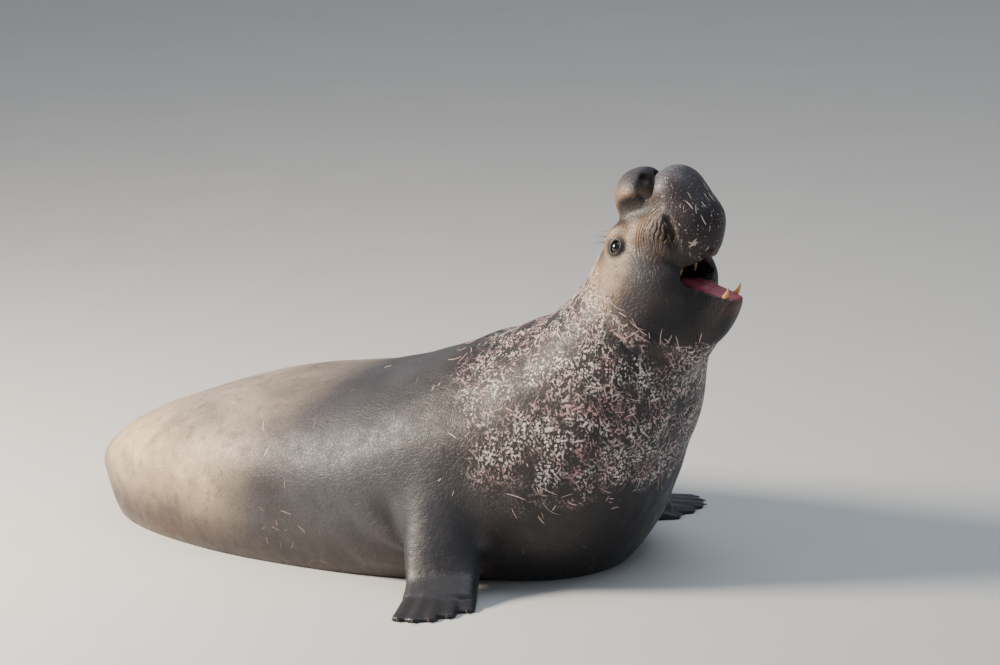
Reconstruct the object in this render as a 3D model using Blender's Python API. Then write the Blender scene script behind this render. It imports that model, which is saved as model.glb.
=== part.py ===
"""Bull elephant seal, life size: reared up on its fore flippers, head thrown back and mouth open.

The flesh is one formula: a signed distance that is negative inside the animal. Oval tubes
and ellipsoids are melted together by a smooth minimum, and the mouth, the cleft of the
proboscis and the nostrils are carved out of it. The surface where the formula
is zero becomes a closed mesh, stands on flats at the floor, and thin cuts part it into the
animal's sub-parts. Eyes, teeth and tongue are solids of their own in seats 0.4 mm wider.
Metres, X forward, Y to the animal's left, Z up.
"""
import math

import bmesh
import bpy
import numpy as np
from mathutils import Vector
from mathutils.bvhtree import BVHTree
from mathutils.geometry import intersect_ray_tri

# Driving dimensions
GAP = 0.0003                    # clearance left by each cut
SEAT = 0.0004                   # how much wider a seat is than what it holds
FLESH_TRIANGLES = 9000          # faces kept over the whole skin
BODY_CELL = 0.022               # grid of the surface, along the trunk
HEAD_CELL = 0.009               # and round the head and flippers

HEAD_AT = np.array([0.36, 0.0, 1.17])   # middle of the skull, between the ears
HEAD_PITCH = math.radians(50.0)         # how far the muzzle points above level
FORWARD = np.array([math.cos(HEAD_PITCH), 0.0, math.sin(HEAD_PITCH)])
UPWARD = np.array([-math.sin(HEAD_PITCH), 0.0, math.cos(HEAD_PITCH)])
LEFT = np.array([0.0, 1.0, 0.0])

EYE_RADIUS = 0.030
EYE_AT = (0.147, 0.150, 0.074)          # in the head's frame: forward, left, up
EYE_SHOWS = 0.011                       # how far the eyeball stands out of the face
CANINE_RADIUS = 0.011

# Spine rows: x, y, z, half width, half height above the axis, half height below it
TRUNK = [
    (-2.40, 0.68, 0.10, 0.115, 0.075, 0.140),
    (-2.28, 0.46, 0.14, 0.190, 0.110, 0.200),
    (-2.11, 0.22, 0.20, 0.320, 0.140, 0.320),
    (-1.84, 0.06, 0.26, 0.460, 0.210, 0.420),
    (-1.40, 0.00, 0.31, 0.575, 0.305, 0.480),
    (-0.90, 0.00, 0.34, 0.630, 0.360, 0.500),
    (-0.45, 0.00, 0.39, 0.615, 0.425, 0.500),
    (-0.08, 0.00, 0.49, 0.540, 0.460, 0.480),
    (0.18, 0.00, 0.70, 0.430, 0.385, 0.365),
    (0.335, 0.00, 0.92, 0.335, 0.275, 0.280),
    (0.42, 0.00, 1.08, 0.245, 0.190, 0.235),
    (0.47, 0.00, 1.20, 0.150, 0.100, 0.150),
]
BREAST_AT, BREAST_SIZE = (0.00, 0.0, 0.34), (0.35, 0.42, 0.42)

# Rows in the head's frame: forward, left, up, half width, half height above, below
SKULL = [
    (-0.42, 0.0, -0.10, 0.120, 0.070, 0.140),
    (-0.24, 0.0, -0.05, 0.175, 0.128, 0.220),
    (-0.08, 0.0, -0.03, 0.190, 0.155, 0.240),
    (0.06, 0.0, 0.00, 0.182, 0.155, 0.200),
    (0.17, 0.0, 0.01, 0.155, 0.137, 0.170),
    (0.27, 0.0, -0.01, 0.145, 0.130, 0.130),
    (0.36, 0.0, -0.02, 0.124, 0.110, 0.110),
]
JAW = [
    (0.00, 0.0, -0.14, 0.190, 0.200, 0.150),
    (0.08, 0.0, -0.22, 0.152, 0.150, 0.190),
    (0.11, 0.0, -0.30, 0.104, 0.128, 0.165),
    (0.145, 0.0, -0.355, 0.080, 0.130, 0.130),
    (0.150, 0.0, -0.392, 0.066, 0.140, 0.105),
]
GAPE = [
    (0.12, 0.0, -0.10, 0.070, 0.030, 0.030),
    (0.205, 0.0, -0.190, 0.112, 0.050, 0.032),
    (0.265, 0.0, -0.27, 0.102, 0.085, 0.046),
    (0.34, 0.0, -0.36, 0.088, 0.120, 0.064),
]
CHEEK_GROOVE = [
    (0.376, 0.132, -0.020, 0.014, 0.018, 0.018),
    (0.362, 0.136, -0.050, 0.016, 0.022, 0.022),
    (0.315, 0.140, -0.110, 0.016, 0.022, 0.022),
    (0.262, 0.136, -0.165, 0.015, 0.020, 0.020),
]
TONGUE = [
    (0.105, 0.0, -0.130, 0.040, 0.018, 0.020),
    (0.150, 0.0, -0.190, 0.050, 0.022, 0.026),
    (0.190, 0.0, -0.260, 0.046, 0.020, 0.024),
    (0.215, 0.0, -0.315, 0.036, 0.014, 0.018),
]

# Fore flippers, for the left side: shoulder to wrist, then five digits
ARM = [
    (-0.22, 0.34, 0.46, 0.200, 0.170, 0.170),
    (-0.22, 0.47, 0.34, 0.175, 0.130, 0.130),
    (-0.18, 0.58, 0.19, 0.150, 0.085, 0.085),
    (-0.13, 0.66, 0.085, 0.140, 0.050, 0.110),
    (-0.09, 0.74, 0.04, 0.135, 0.034, 0.080),
]
WRIST = np.array([-0.115, 0.69, 0.0])
FORE_HEADING = {"right": 65.0, "left": 44.0}    # degrees out from straight ahead
FORE_LENGTHS = (0.125, 0.195, 0.240, 0.250, 0.235)
FORE_SPACING = (0.046, 0.060)                   # between digits, at the wrist and at the tips
CLAW_LENGTH, CLAW_RADIUS = 0.045, 0.008

# Hind flippers and tail trail beside each other from the ankles
ANKLE = np.array([-2.41, 0.66, 0.0])
HIND_HEADING = math.radians(112.0)
HIND_APART, HIND_SPLAY = 0.105, math.radians(12.0)
HIND_LENGTH, HIND_LUNE = 0.36, 0.17             # middle digit, and how much longer the outer are
HIND_SPACING = (0.110, 0.300)                   # across the whole fan, at its root and its tips


# Blending formulas
def smooth_min(a, b, k):
    """The lesser of two distances, with a fillet of about k where they meet."""
    h = np.clip(0.5 + 0.5 * (b - a) / k, 0.0, 1.0)
    return b + (a - b) * h - k * h * (1.0 - h)


def carve(a, b, k):
    """Distance a with form b cut out of it and its rim rounded by about k."""
    return -smooth_min(-a, b, k)


def ellipsoid(p, centre, radii, axes=None):
    """Distance to an ellipsoid: (r - 1) scaled by the slope of r, r being the scaled radius."""
    q = p - np.asarray(centre, float)
    if axes is not None:
        q = q @ np.asarray(axes, float).T
    radii = np.asarray(radii, float)
    r = np.linalg.norm(q / radii, axis=1)
    slope = np.linalg.norm(q / radii**2, axis=1)
    return r * (r - 1.0) / np.maximum(slope, 1e-6)


def smooth_rows(rows, n):
    """n rows read from a smooth curve through the given ones (cubic, spaced by chord)."""
    rows = np.asarray(rows, float)
    chord = np.linalg.norm(np.diff(rows[:, :3], axis=0), axis=1)
    s = np.concatenate([[0.0], np.cumsum(chord)])
    slope = np.zeros_like(rows)
    slope[1:-1] = (rows[2:] - rows[:-2]) / (s[2:] - s[:-2])[:, None]
    slope[0] = (rows[1] - rows[0]) / chord[0]
    slope[-1] = (rows[-1] - rows[-2]) / chord[-1]
    t = np.linspace(0.0, s[-1], n)
    i = np.clip(np.searchsorted(s, t, side="right") - 1, 0, len(rows) - 2)
    h = (s[i + 1] - s[i])[:, None]
    u = ((t - s[i]) / h[:, 0])[:, None]
    return (
        (2 * u**3 - 3 * u**2 + 1) * rows[i]
        + (u**3 - 2 * u**2 + u) * h * slope[i]
        + (3 * u**2 - 2 * u**3) * rows[i + 1]
        + (u**3 - u**2) * h * slope[i + 1]
    )


def path_frames(rows, side):
    """Unit tangent, sideways and upward vectors at each row of a path."""
    tangent = np.gradient(rows[:, :3], axis=0)
    tangent /= np.linalg.norm(tangent, axis=1)[:, None]
    side = np.broadcast_to(np.asarray(side, float), tangent.shape)
    lateral = side - (side * tangent).sum(1)[:, None] * tangent
    lateral /= np.linalg.norm(lateral, axis=1)[:, None]
    return tangent, lateral, np.cross(tangent, lateral)


def tube(p, rows, side, n=48, top=2.0, low=2.0, caps=(1.0, 1.0), margin=0.25):
    """Distance to an oval tube along a path.

    Each point finds its foot on the path by Newton steps. The section there is the curve
    |l / width|^e + |h / height|^e = 1, with exponent top above the axis and low below it,
    so that 2 is an ellipse and 3 is boxier. Both ends are closed by half ellipsoids.
    """
    c = smooth_rows(rows, n)
    reach = c[:, 3:].max() + margin
    lo, hi = c[:, :3].min(0) - reach, c[:, :3].max(0) + reach
    near = np.all((p > lo) & (p < hi), axis=1)
    beyond = np.maximum(np.maximum(lo - p, p - hi), 0.0)
    out = margin + np.linalg.norm(beyond, axis=1)
    q = p[near]
    if not len(q):
        return out
    tangent, lateral, upward = path_frames(c, side)
    bend = np.gradient(tangent, axis=0)
    step = np.linalg.norm(np.diff(c[:, :3], axis=0), axis=1).mean()
    best, foot = np.full(len(q), 1e9), np.zeros(len(q), int)
    for k in range(n):
        d = ((q - c[k, :3]) ** 2).sum(1)
        nearer = d < best
        best[nearer], foot[nearer] = d[nearer], k

    def between(table, i, f):
        return table[i] * (1 - f) + table[i + 1] * f

    u = foot.astype(float)
    for _ in range(4):
        i = np.minimum(u.astype(int), n - 2)
        f = (u - i)[:, None]
        d = q - between(c[:, :3], i, f)
        curl = (d * between(bend, i, f)).sum(1)
        ahead = (d * between(tangent, i, f)).sum(1)
        u = np.clip(u + ahead / np.maximum(step - curl, 0.35 * step), 0.0, n - 1.0)
    i = np.minimum(u.astype(int), n - 2)
    f = (u - i)[:, None]
    row = between(c, i, f)
    d = q - row[:, :3]
    ahead = (d * between(tangent, i, f)).sum(1)
    l = (d * between(lateral, i, f)).sum(1)
    h = (d * between(upward, i, f)).sum(1)
    ahead = np.where((u <= 0) | (u >= n - 1), ahead, 0.0)
    cap = np.where(u < n / 2, caps[0], caps[1]) * np.minimum(row[:, 3], row[:, 4])
    tall = np.where(h > 0, row[:, 4], row[:, 5])
    e = np.where(h > 0, top, low)
    r = (np.abs(l / row[:, 3]) ** e + np.abs(h / tall) ** e) ** (1 / e)
    r = np.sqrt(r**2 + (ahead / np.maximum(cap, 1e-4)) ** 2)
    size = np.minimum(row[:, 3], tall)
    rho = np.sqrt((d * d).sum(1))
    outside = rho * (1 - 1 / np.maximum(r, 1e-3))
    out[near] = np.where(r < 0.3, np.minimum(outside, -0.7 * size * (1 - r)), outside)
    return out


# The head's own frame
def in_head(f, l, u):
    return HEAD_AT + f * FORWARD + l * LEFT + u * UPWARD


def head_rows(rows):
    return [np.r_[in_head(*row[:3]), row[3:]] for row in rows]


def head_ball(p, at, radii, tilt=0.0, turn=0.0):
    """Ellipsoid in the head's frame, pitched up by tilt and turned to the left by turn (degrees)."""
    t, y = math.radians(tilt), math.radians(turn)
    f = math.cos(t) * FORWARD + math.sin(t) * UPWARD
    u = -math.sin(t) * FORWARD + math.cos(t) * UPWARD
    axes = [math.cos(y) * f + math.sin(y) * LEFT, -math.sin(y) * f + math.cos(y) * LEFT, u]
    return ellipsoid(p, in_head(*at), radii, axes)


def both_sides(p):
    """The points folded onto the left side, so that a form on it also stands on the right."""
    q = p.copy()
    q[:, 1] = np.abs(q[:, 1])
    return q


# The forms
def trunk(p):
    body = tube(p, TRUNK, LEFT, 80, 2.1, 2.8, (0.8, 0.8), margin=0.4)
    return smooth_min(body, ellipsoid(p, BREAST_AT, BREAST_SIZE), 0.15)


def skull(p):
    q = both_sides(p)
    d = tube(p, head_rows(SKULL), LEFT, 40, caps=(0.8, 0.6))
    d = smooth_min(d, head_ball(q, (0.10, 0.110, -0.12), (0.15, 0.090, 0.13), -20), 0.06)
    d = smooth_min(d, head_ball(q, (0.285, 0.085, -0.035), (0.095, 0.068, 0.095), 25, -8), 0.03)
    return smooth_min(d, head_ball(q, (0.145, 0.095, 0.105), (0.075, 0.050, 0.045)), 0.04)


def nose_hump(p):
    """The rear lobe of the proboscis, a hump above the eyes."""
    return head_ball(p, (0.294, 0.0, 0.152), (0.114, 0.118, 0.112), 15)


def nose_bag(p):
    """The front lobe, which swells forward and hangs over the mouth."""
    d = head_ball(p, (0.420, 0.0, 0.066), (0.088, 0.104, 0.085))
    d = smooth_min(d, head_ball(p, (0.374, 0.0, -0.062), (0.120, 0.117, 0.126)), 0.09)
    return smooth_min(d, head_ball(p, (0.300, 0.0, -0.120), (0.105, 0.106, 0.098), -15), 0.06)


def jaw(p):
    d = tube(p, head_rows(JAW), LEFT, 24, 2.6, 2.4, (0.5, 0.55))
    return smooth_min(d, head_ball(p, (-0.03, 0.0, -0.27), (0.20, 0.16, 0.15), 8), 0.06)


def gape(p):
    """The open mouth: a wedge between palate and lower jaw, narrower than the cheeks."""
    return tube(p, head_rows(GAPE), LEFT, 24, 2.2, 2.2, (0.6, 0.6))


def turned(heading):
    """Unit vectors along a heading on the floor and to the left of it."""
    along = np.array([math.cos(heading), math.sin(heading), 0.0])
    return along, np.array([-along[1], along[0], 0.0])


def fore_digits(side):
    """Rows of the five digits, the leading one first, as if both flippers were left ones."""
    along, across = turned(math.radians(FORE_HEADING[side]))
    digits = []
    for k, length in enumerate(FORE_LENGTHS):
        out = [(k - 2) * spacing for spacing in FORE_SPACING]
        root = WRIST + across * out[0] - along * 0.03
        knee = WRIST + across * (0.4 * out[0] + 0.6 * out[1]) + along * length * 0.5
        tip = WRIST + across * out[1] + along * length
        wide = (0.036, 0.033, 0.032, 0.032, 0.033)[k]
        digits.append([
            (*root[:2], 0.050, wide, 0.030, 0.090),
            (*knee[:2], 0.022, wide, 0.020, 0.070),
            (*tip[:2], 0.008, wide * 0.90, 0.014, 0.050),
        ])
    return digits, across


def fore_flipper(p, side):
    q = p.copy()
    if side == "right":
        q[:, 1] = -q[:, 1]
    d = tube(q, ARM, (-0.91, 0.42, 0.0), 32, 2.2, 2.2)
    digits, across = fore_digits(side)
    for rows in digits:
        d = smooth_min(d, tube(q, rows, across, 14, margin=0.12), 0.024)
    return d


def hind_flipper(p, sign):
    """A fan of five digits, the outer ones longest; sign is 1 for the right one."""
    middle = turned(HIND_HEADING)[1]
    along, across = turned(HIND_HEADING + sign * HIND_SPLAY)
    base = ANKLE + middle * sign * HIND_APART - along * 0.03
    d = None
    for e in np.linspace(-1.0, 1.0, 5):
        length = HIND_LENGTH + HIND_LUNE * e * e
        root, tip = (base + across * e * spacing / 2 for spacing in HIND_SPACING)
        tip = tip + along * length
        knee = 0.47 * root + 0.53 * tip
        wide = 0.031 + 0.006 * e * e
        rows = [
            (*root[:2], 0.070, 0.045, 0.044, 0.110),
            (*knee[:2], 0.030, wide * 1.15, 0.020, 0.080),
            (*tip[:2], 0.010, wide * 0.92, 0.013, 0.050),
        ]
        digit = tube(p, rows, across, 14, margin=0.12)
        d = digit if d is None else smooth_min(d, digit, 0.024)
    return d


def tail(p):
    along, across = turned(HIND_HEADING)
    tip = ANKLE + along * 0.13
    rows = [(*ANKLE[:2], 0.10, 0.06, 0.045, 0.14), (*tip[:2], 0.065, 0.034, 0.024, 0.10)]
    return tube(p, rows, across, 10, margin=0.12)


def flesh(p):
    """The whole animal without eyes, teeth and tongue; it runs straight down under the floor."""
    p = np.column_stack([p[:, :2], np.maximum(p[:, 2], 0.0)])
    q = both_sides(p)
    d = smooth_min(trunk(p), skull(p), 0.10)
    d = smooth_min(d, jaw(p), 0.05)
    d = smooth_min(d, nose_hump(p), 0.045)
    d = smooth_min(d, nose_bag(p), 0.045)
    d = carve(d, gape(p), 0.015)
    d = carve(d, head_ball(q, (0.392, 0.045, 0.170), (0.016, 0.070, 0.070), -35), 0.026)
    d = carve(d, head_ball(q, (0.378, 0.078, 0.138), (0.026, 0.035, 0.032), -35), 0.026)
    d = carve(d, tube(q, head_rows(CHEEK_GROOVE), (1, 0, 0), 24, margin=0.08), 0.018)
    d = carve(d, head_ball(q, (0.335, 0.036, -0.205), (0.026, 0.016, 0.030), -25), 0.010)
    for side in ("right", "left"):
        d = smooth_min(d, fore_flipper(p, side), 0.06)
    rear = np.minimum(hind_flipper(p, -1), hind_flipper(p, 1))
    d = smooth_min(d, smooth_min(rear, tail(p), 0.03), 0.05)
    return d


def gradient(field, p, h=0.002):
    steps = np.eye(3) * h
    return np.stack([(field(p + e) - field(p - e)) / (2 * h) for e in steps], 1)


def settle(field, p, rounds=2, most=0.02):
    """Newton steps along the slope, which bring points onto the zero surface."""
    for _ in range(rounds):
        g = gradient(field, p)
        step = (field(p) / np.maximum((g * g).sum(1), 0.05))[:, None] * g
        size = np.linalg.norm(step, axis=1)[:, None]
        p = p - step * np.minimum(1.0, most / np.maximum(size, 1e-9))
    return p


# From the formula to a mesh
def grid_lines(marks, cells):
    """Coordinates from the first mark to the last, whose spacing is blended between the marks."""
    lines = [marks[0]]
    while lines[-1] < marks[-1]:
        lines.append(lines[-1] + float(np.interp(lines[-1], marks, cells)))
    return np.array(lines)


def surface_net(field, axes, coarse=4):
    """Points and quads of the zero surface, one point in each cell of the grid that it crosses.

    A coarse grid is read first, and only the points near the surface are computed in full.
    """
    shape = [len(a) for a in axes]
    rough = []
    for a in axes:
        k = np.arange(0, len(a) + coarse - 1, coarse)
        rough.append(np.interp(k, np.arange(len(a)), a))
    points = np.stack(np.meshgrid(*rough, indexing="ij"), -1).reshape(-1, 3)
    values = field(points).reshape([len(a) for a in rough])
    for axis, n in enumerate(shape):
        k = np.arange(n) / coarse
        i = np.minimum(k.astype(int), values.shape[axis] - 2)
        w = (k - i).reshape([-1 if d == axis else 1 for d in range(3)])
        values = np.take(values, i, axis) * (1 - w) + np.take(values, i + 1, axis) * w
    widest = max(np.diff(a).max() for a in axes)
    near = np.abs(values) < 1.8 * coarse * widest
    index = np.argwhere(near)
    values[near] = field(np.stack([axes[d][index[:, d]] for d in range(3)], 1))
    inside = values < 0

    corners = [(a, b, c) for a in (0, 1) for b in (0, 1) for c in (0, 1)]
    count = np.zeros([n - 1 for n in shape], np.int8)
    for o in corners:
        count += inside[tuple(slice(o[d], shape[d] - 1 + o[d]) for d in range(3))]
    cells = np.argwhere((count > 0) & (count < 8))
    number = np.full(count.shape, -1)
    number[tuple(cells.T)] = np.arange(len(cells))

    total, weight = np.zeros((len(cells), 3)), np.zeros(len(cells))
    for axis in range(3):
        for o in corners:
            if o[axis]:
                continue
            a = cells + o
            b = a.copy()
            b[:, axis] += 1
            fa, fb = values[tuple(a.T)], values[tuple(b.T)]
            crossed = (fa < 0) != (fb < 0)
            t = (fa / np.where(crossed, fa - fb, 1.0))[:, None]
            pa = np.stack([axes[d][a[:, d]] for d in range(3)], 1)
            pb = np.stack([axes[d][b[:, d]] for d in range(3)], 1)
            total += np.where(crossed[:, None], pa + (pb - pa) * t, 0.0)
            weight += crossed
    points = total / weight[:, None]

    quads = []
    for axis in range(3):
        first = [slice(1, n - 1) for n in shape]
        first[axis] = slice(0, shape[axis] - 1)
        second = list(first)
        second[axis] = slice(1, shape[axis])
        a, b = inside[tuple(first)], inside[tuple(second)]
        edge = np.argwhere(a != b)
        outward = a[tuple(edge.T)]
        edge = edge + [s.start for s in first]
        u, v = (axis + 1) % 3, (axis + 2) % 3
        ring = []
        for du, dv in ((1, 1), (0, 1), (0, 0), (1, 0)):
            cell = edge.copy()
            cell[:, u] -= du
            cell[:, v] -= dv
            ring.append(number[tuple(cell.T)])
        quad = np.stack(ring, 1)
        quad[~outward] = quad[~outward][:, ::-1]
        quads.append(quad)
    return points, np.concatenate(quads)


# Blender objects
def clear_scene():
    for obj in list(bpy.data.objects):
        bpy.data.objects.remove(obj, do_unlink=True)


def add_object(name, mesh, helper=False):
    obj = bpy.data.objects.new(name, mesh)
    bpy.context.scene.collection.objects.link(obj)
    if helper:
        obj.hide_render = True
        obj.display_type = "WIRE"
    return obj


def mesh_from(name, points, faces):
    mesh = bpy.data.meshes.new(name)
    mesh.from_pydata([tuple(v) for v in points], [], [tuple(f) for f in faces])
    mesh.validate()
    mesh.update()
    return mesh


def mesh_from_bmesh(name, bm):
    bmesh.ops.recalc_face_normals(bm, faces=bm.faces)
    mesh = bpy.data.meshes.new(name)
    bm.to_mesh(mesh)
    bm.free()
    return mesh


def applied(obj):
    """The object's mesh with its modifiers applied; the object itself is removed."""
    graph = bpy.context.evaluated_depsgraph_get()
    mesh = bpy.data.meshes.new_from_object(obj.evaluated_get(graph))
    bpy.data.objects.remove(obj, do_unlink=True)
    return mesh


def combined(mesh, other, operation):
    """One Boolean of two closed meshes."""
    body = add_object("body", mesh)
    tool = add_object("tool", other, helper=True)
    boolean = body.modifiers.new(operation.lower(), "BOOLEAN")
    boolean.operation = operation
    boolean.object = tool
    result = applied(body)
    bpy.data.objects.remove(tool, do_unlink=True)
    return result


def islands(bm):
    """The closed surfaces of a mesh, as lists of faces."""
    left, found = set(bm.faces), []
    while left:
        stack, group = [left.pop()], []
        while stack:
            face = stack.pop()
            group.append(face)
            for edge in face.edges:
                for other in edge.link_faces:
                    if other in left:
                        left.remove(other)
                        stack.append(other)
        found.append(group)
    return found


def largest_body(mesh):
    """The mesh with only its largest closed surface, by the size of its box."""
    bm = bmesh.new()
    bm.from_mesh(mesh)

    def reach(group):
        spots = np.array([v.co[:] for face in group for v in face.verts])
        return float(np.prod(spots.max(0) - spots.min(0)))

    groups = sorted(islands(bm), key=reach)
    for group in groups[:-1]:
        bmesh.ops.delete(bm, geom=group, context="FACES")
    bm.to_mesh(mesh)
    bm.free()
    return mesh


def slab(point, normal):
    """A sheet as thin as the gap, much wider than the animal."""
    bm = bmesh.new()
    bmesh.ops.create_cube(bm, size=1.0)
    bmesh.ops.scale(bm, vec=(6.0, 6.0, GAP), verts=bm.verts)
    turn = Vector((0, 0, 1)).rotation_difference(Vector(normal))
    bmesh.ops.rotate(bm, matrix=turn.to_matrix(), verts=bm.verts)
    bmesh.ops.translate(bm, vec=Vector(point), verts=bm.verts)
    return mesh_from_bmesh("slab", bm)


def split(mesh, point, normal):
    """(the side that the normal points to, the other side) of a mesh, a gap apart."""
    cut = combined(mesh, slab(point, normal), "DIFFERENCE")
    point, normal = Vector(point), Vector(normal)
    halves = []
    for sign in (1, -1):
        bm = bmesh.new()
        bm.from_mesh(cut)
        for group in islands(bm):
            middle = sum((f.calc_center_median() for f in group), Vector()) / len(group)
            if (middle - point).dot(normal) * sign < 0:
                bmesh.ops.delete(bm, geom=group, context="FACES")
        half = bpy.data.meshes.new("half")
        bm.to_mesh(half)
        bm.free()
        halves.append(largest_body(half))
    return halves


def pierces(face, other, shared):
    """Whether the edge of a face that is opposite the shared vertex goes through the other face."""
    start, end = (v.co for v in face.verts if v is not shared)
    along = end - start
    hit = intersect_ray_tri(*(v.co for v in other.verts), along, start, True)
    return hit is not None and 0.0 < (hit - start).dot(along) < along.length_squared


def tangled(bm):
    """The vertices of faces that pass through each other or are folded back."""
    bm.faces.ensure_lookup_table()
    tree = BVHTree.FromBMesh(bm)
    found = set()
    for a, b in tree.overlap(tree):
        if a >= b:
            continue
        first, second = bm.faces[a], bm.faces[b]
        shared = set(first.verts) & set(second.verts)
        if len(shared) == 1:
            common = shared.pop()
            if not pierces(first, second, common) and not pierces(second, first, common):
                continue
        elif shared:
            continue
        found.update(first.verts)
        found.update(second.verts)
    for edge in bm.edges:
        if len(edge.link_faces) == 2 and edge.calc_face_angle() > 2.0:
            for face in edge.link_faces:
                found.update(face.verts)
    return found


def untangle(bm, rounds=40):
    """Relaxes the few places where faces cross, until none does."""
    for _ in range(rounds):
        found = tangled(bm)
        if not found:
            return
        moved = {}
        for v in found:
            around = [e.other_vert(v).co for e in v.link_edges]
            moved[v] = v.co.lerp(sum(around, Vector()) / len(around), 0.5)
        for v, co in moved.items():
            v.co = co


def flesh_mesh():
    """The skin as one closed mesh with few faces, cut flat at the floor."""
    axes = (
        grid_lines([-3.2, -2.5, -2.3, -0.5, -0.35, 0.95],
                   [HEAD_CELL, HEAD_CELL, BODY_CELL, BODY_CELL, HEAD_CELL, HEAD_CELL]),
        grid_lines([-1.08, -0.6, -0.45, -0.25, 0.25, 0.45, 0.6, 1.25],
                   [0.014, 0.014, BODY_CELL, HEAD_CELL, HEAD_CELL, BODY_CELL, 0.014, 0.014]),
        grid_lines([-0.03, 0.1, 0.3, 0.85, 1.0, 1.72],
                   [HEAD_CELL, HEAD_CELL, BODY_CELL, BODY_CELL, HEAD_CELL, HEAD_CELL]),
    )
    points, quads = surface_net(flesh, axes)
    points = settle(flesh, points, 1)
    whole = add_object("whole", mesh_from("whole", points, quads))
    thin = whole.modifiers.new("thin", "DECIMATE")
    thin.ratio = FLESH_TRIANGLES / (2 * len(quads))
    mesh = applied(whole)
    bm = bmesh.new()
    bm.from_mesh(mesh)
    bmesh.ops.triangulate(bm, faces=bm.faces)
    untangle(bm)
    everything = bm.verts[:] + bm.edges[:] + bm.faces[:]
    cut = bmesh.ops.bisect_plane(
        bm, geom=everything, dist=1e-6, plane_co=(0, 0, 0), plane_no=(0, 0, 1), clear_inner=True
    )
    rim = [e for e in cut["geom_cut"] if isinstance(e, bmesh.types.BMEdge)]
    bmesh.ops.triangle_fill(bm, use_beauty=True, edges=rim)
    return mesh_from_bmesh("whole", bm)


def tube_mesh(rows, side, sides, stations, grow=0.0):
    """A closed oval tube, round at both ends; grow widens it all over."""
    c = smooth_rows(rows, stations)
    tangent, lateral, upward = path_frames(c, side)
    turn = np.linspace(0.0, 2 * np.pi, sides, endpoint=False)
    cos, sin = np.cos(turn)[None, :, None], np.sin(turn)[None, :, None]
    wide = (c[:, 3] + grow)[:, None, None]
    tall = np.where(sin > 0, (c[:, 4] + grow)[:, None, None], (c[:, 5] + grow)[:, None, None])
    rings = c[:, None, :3] + lateral[:, None] * wide * cos + upward[:, None] * tall * sin
    poles = [c[0, :3] - tangent[0] * (0.6 * c[0, 4] + grow),
             c[-1, :3] + tangent[-1] * (0.6 * c[-1, 4] + grow)]
    points = np.concatenate([rings.reshape(-1, 3), poles])
    first, last = len(points) - 2, len(points) - 1
    end = (stations - 1) * sides
    faces = []
    for k in range(sides):
        j = (k + 1) % sides
        faces += [(s * sides + k, s * sides + j, s * sides + sides + j, s * sides + sides + k)
                  for s in range(stations - 1)]
        faces += [(first, j, k), (last, end + k, end + j)]
    bm = bmesh.new()
    bm.from_mesh(mesh_from("tube", points, faces))
    return mesh_from_bmesh("tube", bm)


def ball_mesh(centre, radius):
    bm = bmesh.new()
    bmesh.ops.create_icosphere(bm, subdivisions=3, radius=radius)
    bmesh.ops.translate(bm, vec=Vector(centre), verts=bm.verts)
    return mesh_from_bmesh("ball", bm)


def skin_point(start, towards, far=0.25):
    """Where a ray from inside the flesh leaves it."""
    towards = np.asarray(towards, float) / np.linalg.norm(towards)
    t = np.linspace(0.0, far, 400)
    values = flesh(np.asarray(start, float) + t[:, None] * towards)
    k = int(np.argmax(values > 0))
    return np.asarray(start, float) + towards * t[k], towards


# Solids that sit in the flesh
def eye_centre(sign):
    f, l, u = EYE_AT
    outward = 0.94 * sign * LEFT + 0.22 * FORWARD + 0.26 * UPWARD
    at, outward = skin_point(in_head(f - 0.02, sign * 0.09, u - 0.02), outward)
    return at - outward * (EYE_RADIUS - EYE_SHOWS)


def horn_rows(base, direction, curve, length, radius, sunk, steps=5):
    """Rows of a curved, tapering horn: its root is sunk, and it leans towards curve."""
    direction, curve = np.asarray(direction, float), np.asarray(curve, float)
    rows = []
    for t in np.linspace(0.0, 1.0, steps):
        s = t * (length + sunk) - sunk
        lean = max(s, 0.0) ** 2 / length
        r = radius * (1.0 - 0.86 * max(s, 0.0) / length) * (0.75 + 0.25 * min(1.0, (s + sunk) / sunk))
        rows.append(np.r_[base + direction * s + curve * lean, r, r, r])
    return rows


def canine_rows(sign, upper):
    if upper:
        base, down = skin_point(in_head(0.236, sign * 0.050, -0.08), -0.98 * UPWARD - 0.2 * FORWARD)
        return horn_rows(base, down, -FORWARD, 0.024, CANINE_RADIUS * 0.9, 0.028)
    lean = -0.10 * UPWARD + 0.97 * FORWARD + sign * 0.12 * LEFT
    base, lean = skin_point(in_head(0.18, sign * 0.028, -0.348), lean)
    return horn_rows(base, lean, UPWARD * 0.35, 0.042, CANINE_RADIUS, 0.03)


def claw_rows(side):
    """Rows of the five claws of a fore flipper, each on the back of its digit's tip."""
    digits, _ = fore_digits(side)
    mirror = np.array([1.0, -1.0 if side == "right" else 1.0, 1.0])
    claws = []
    for rows in digits:
        tip, knee = np.array(rows[2][:3]), np.array(rows[1][:3])
        along = (tip - knee) * [1, 1, 0]
        along /= np.linalg.norm(along)
        base = tip + along * 0.002 + [0, 0, 0.004]
        claw = horn_rows(base, along, [0, 0, -0.10], CLAW_LENGTH * 0.62, CLAW_RADIUS, 0.022, 4)
        claws.append([np.r_[row[:3] * mirror, row[3:]] for row in claw])
    return claws


def material(name, colour, roughness):
    made = bpy.data.materials.new(name)
    made.use_nodes = True
    shader = made.node_tree.nodes["Principled BSDF"]
    shader.inputs["Base Color"].default_value = (*colour, 1.0)
    shader.inputs["Roughness"].default_value = roughness
    shader.inputs["Metallic"].default_value = 0.0
    return made


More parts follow.
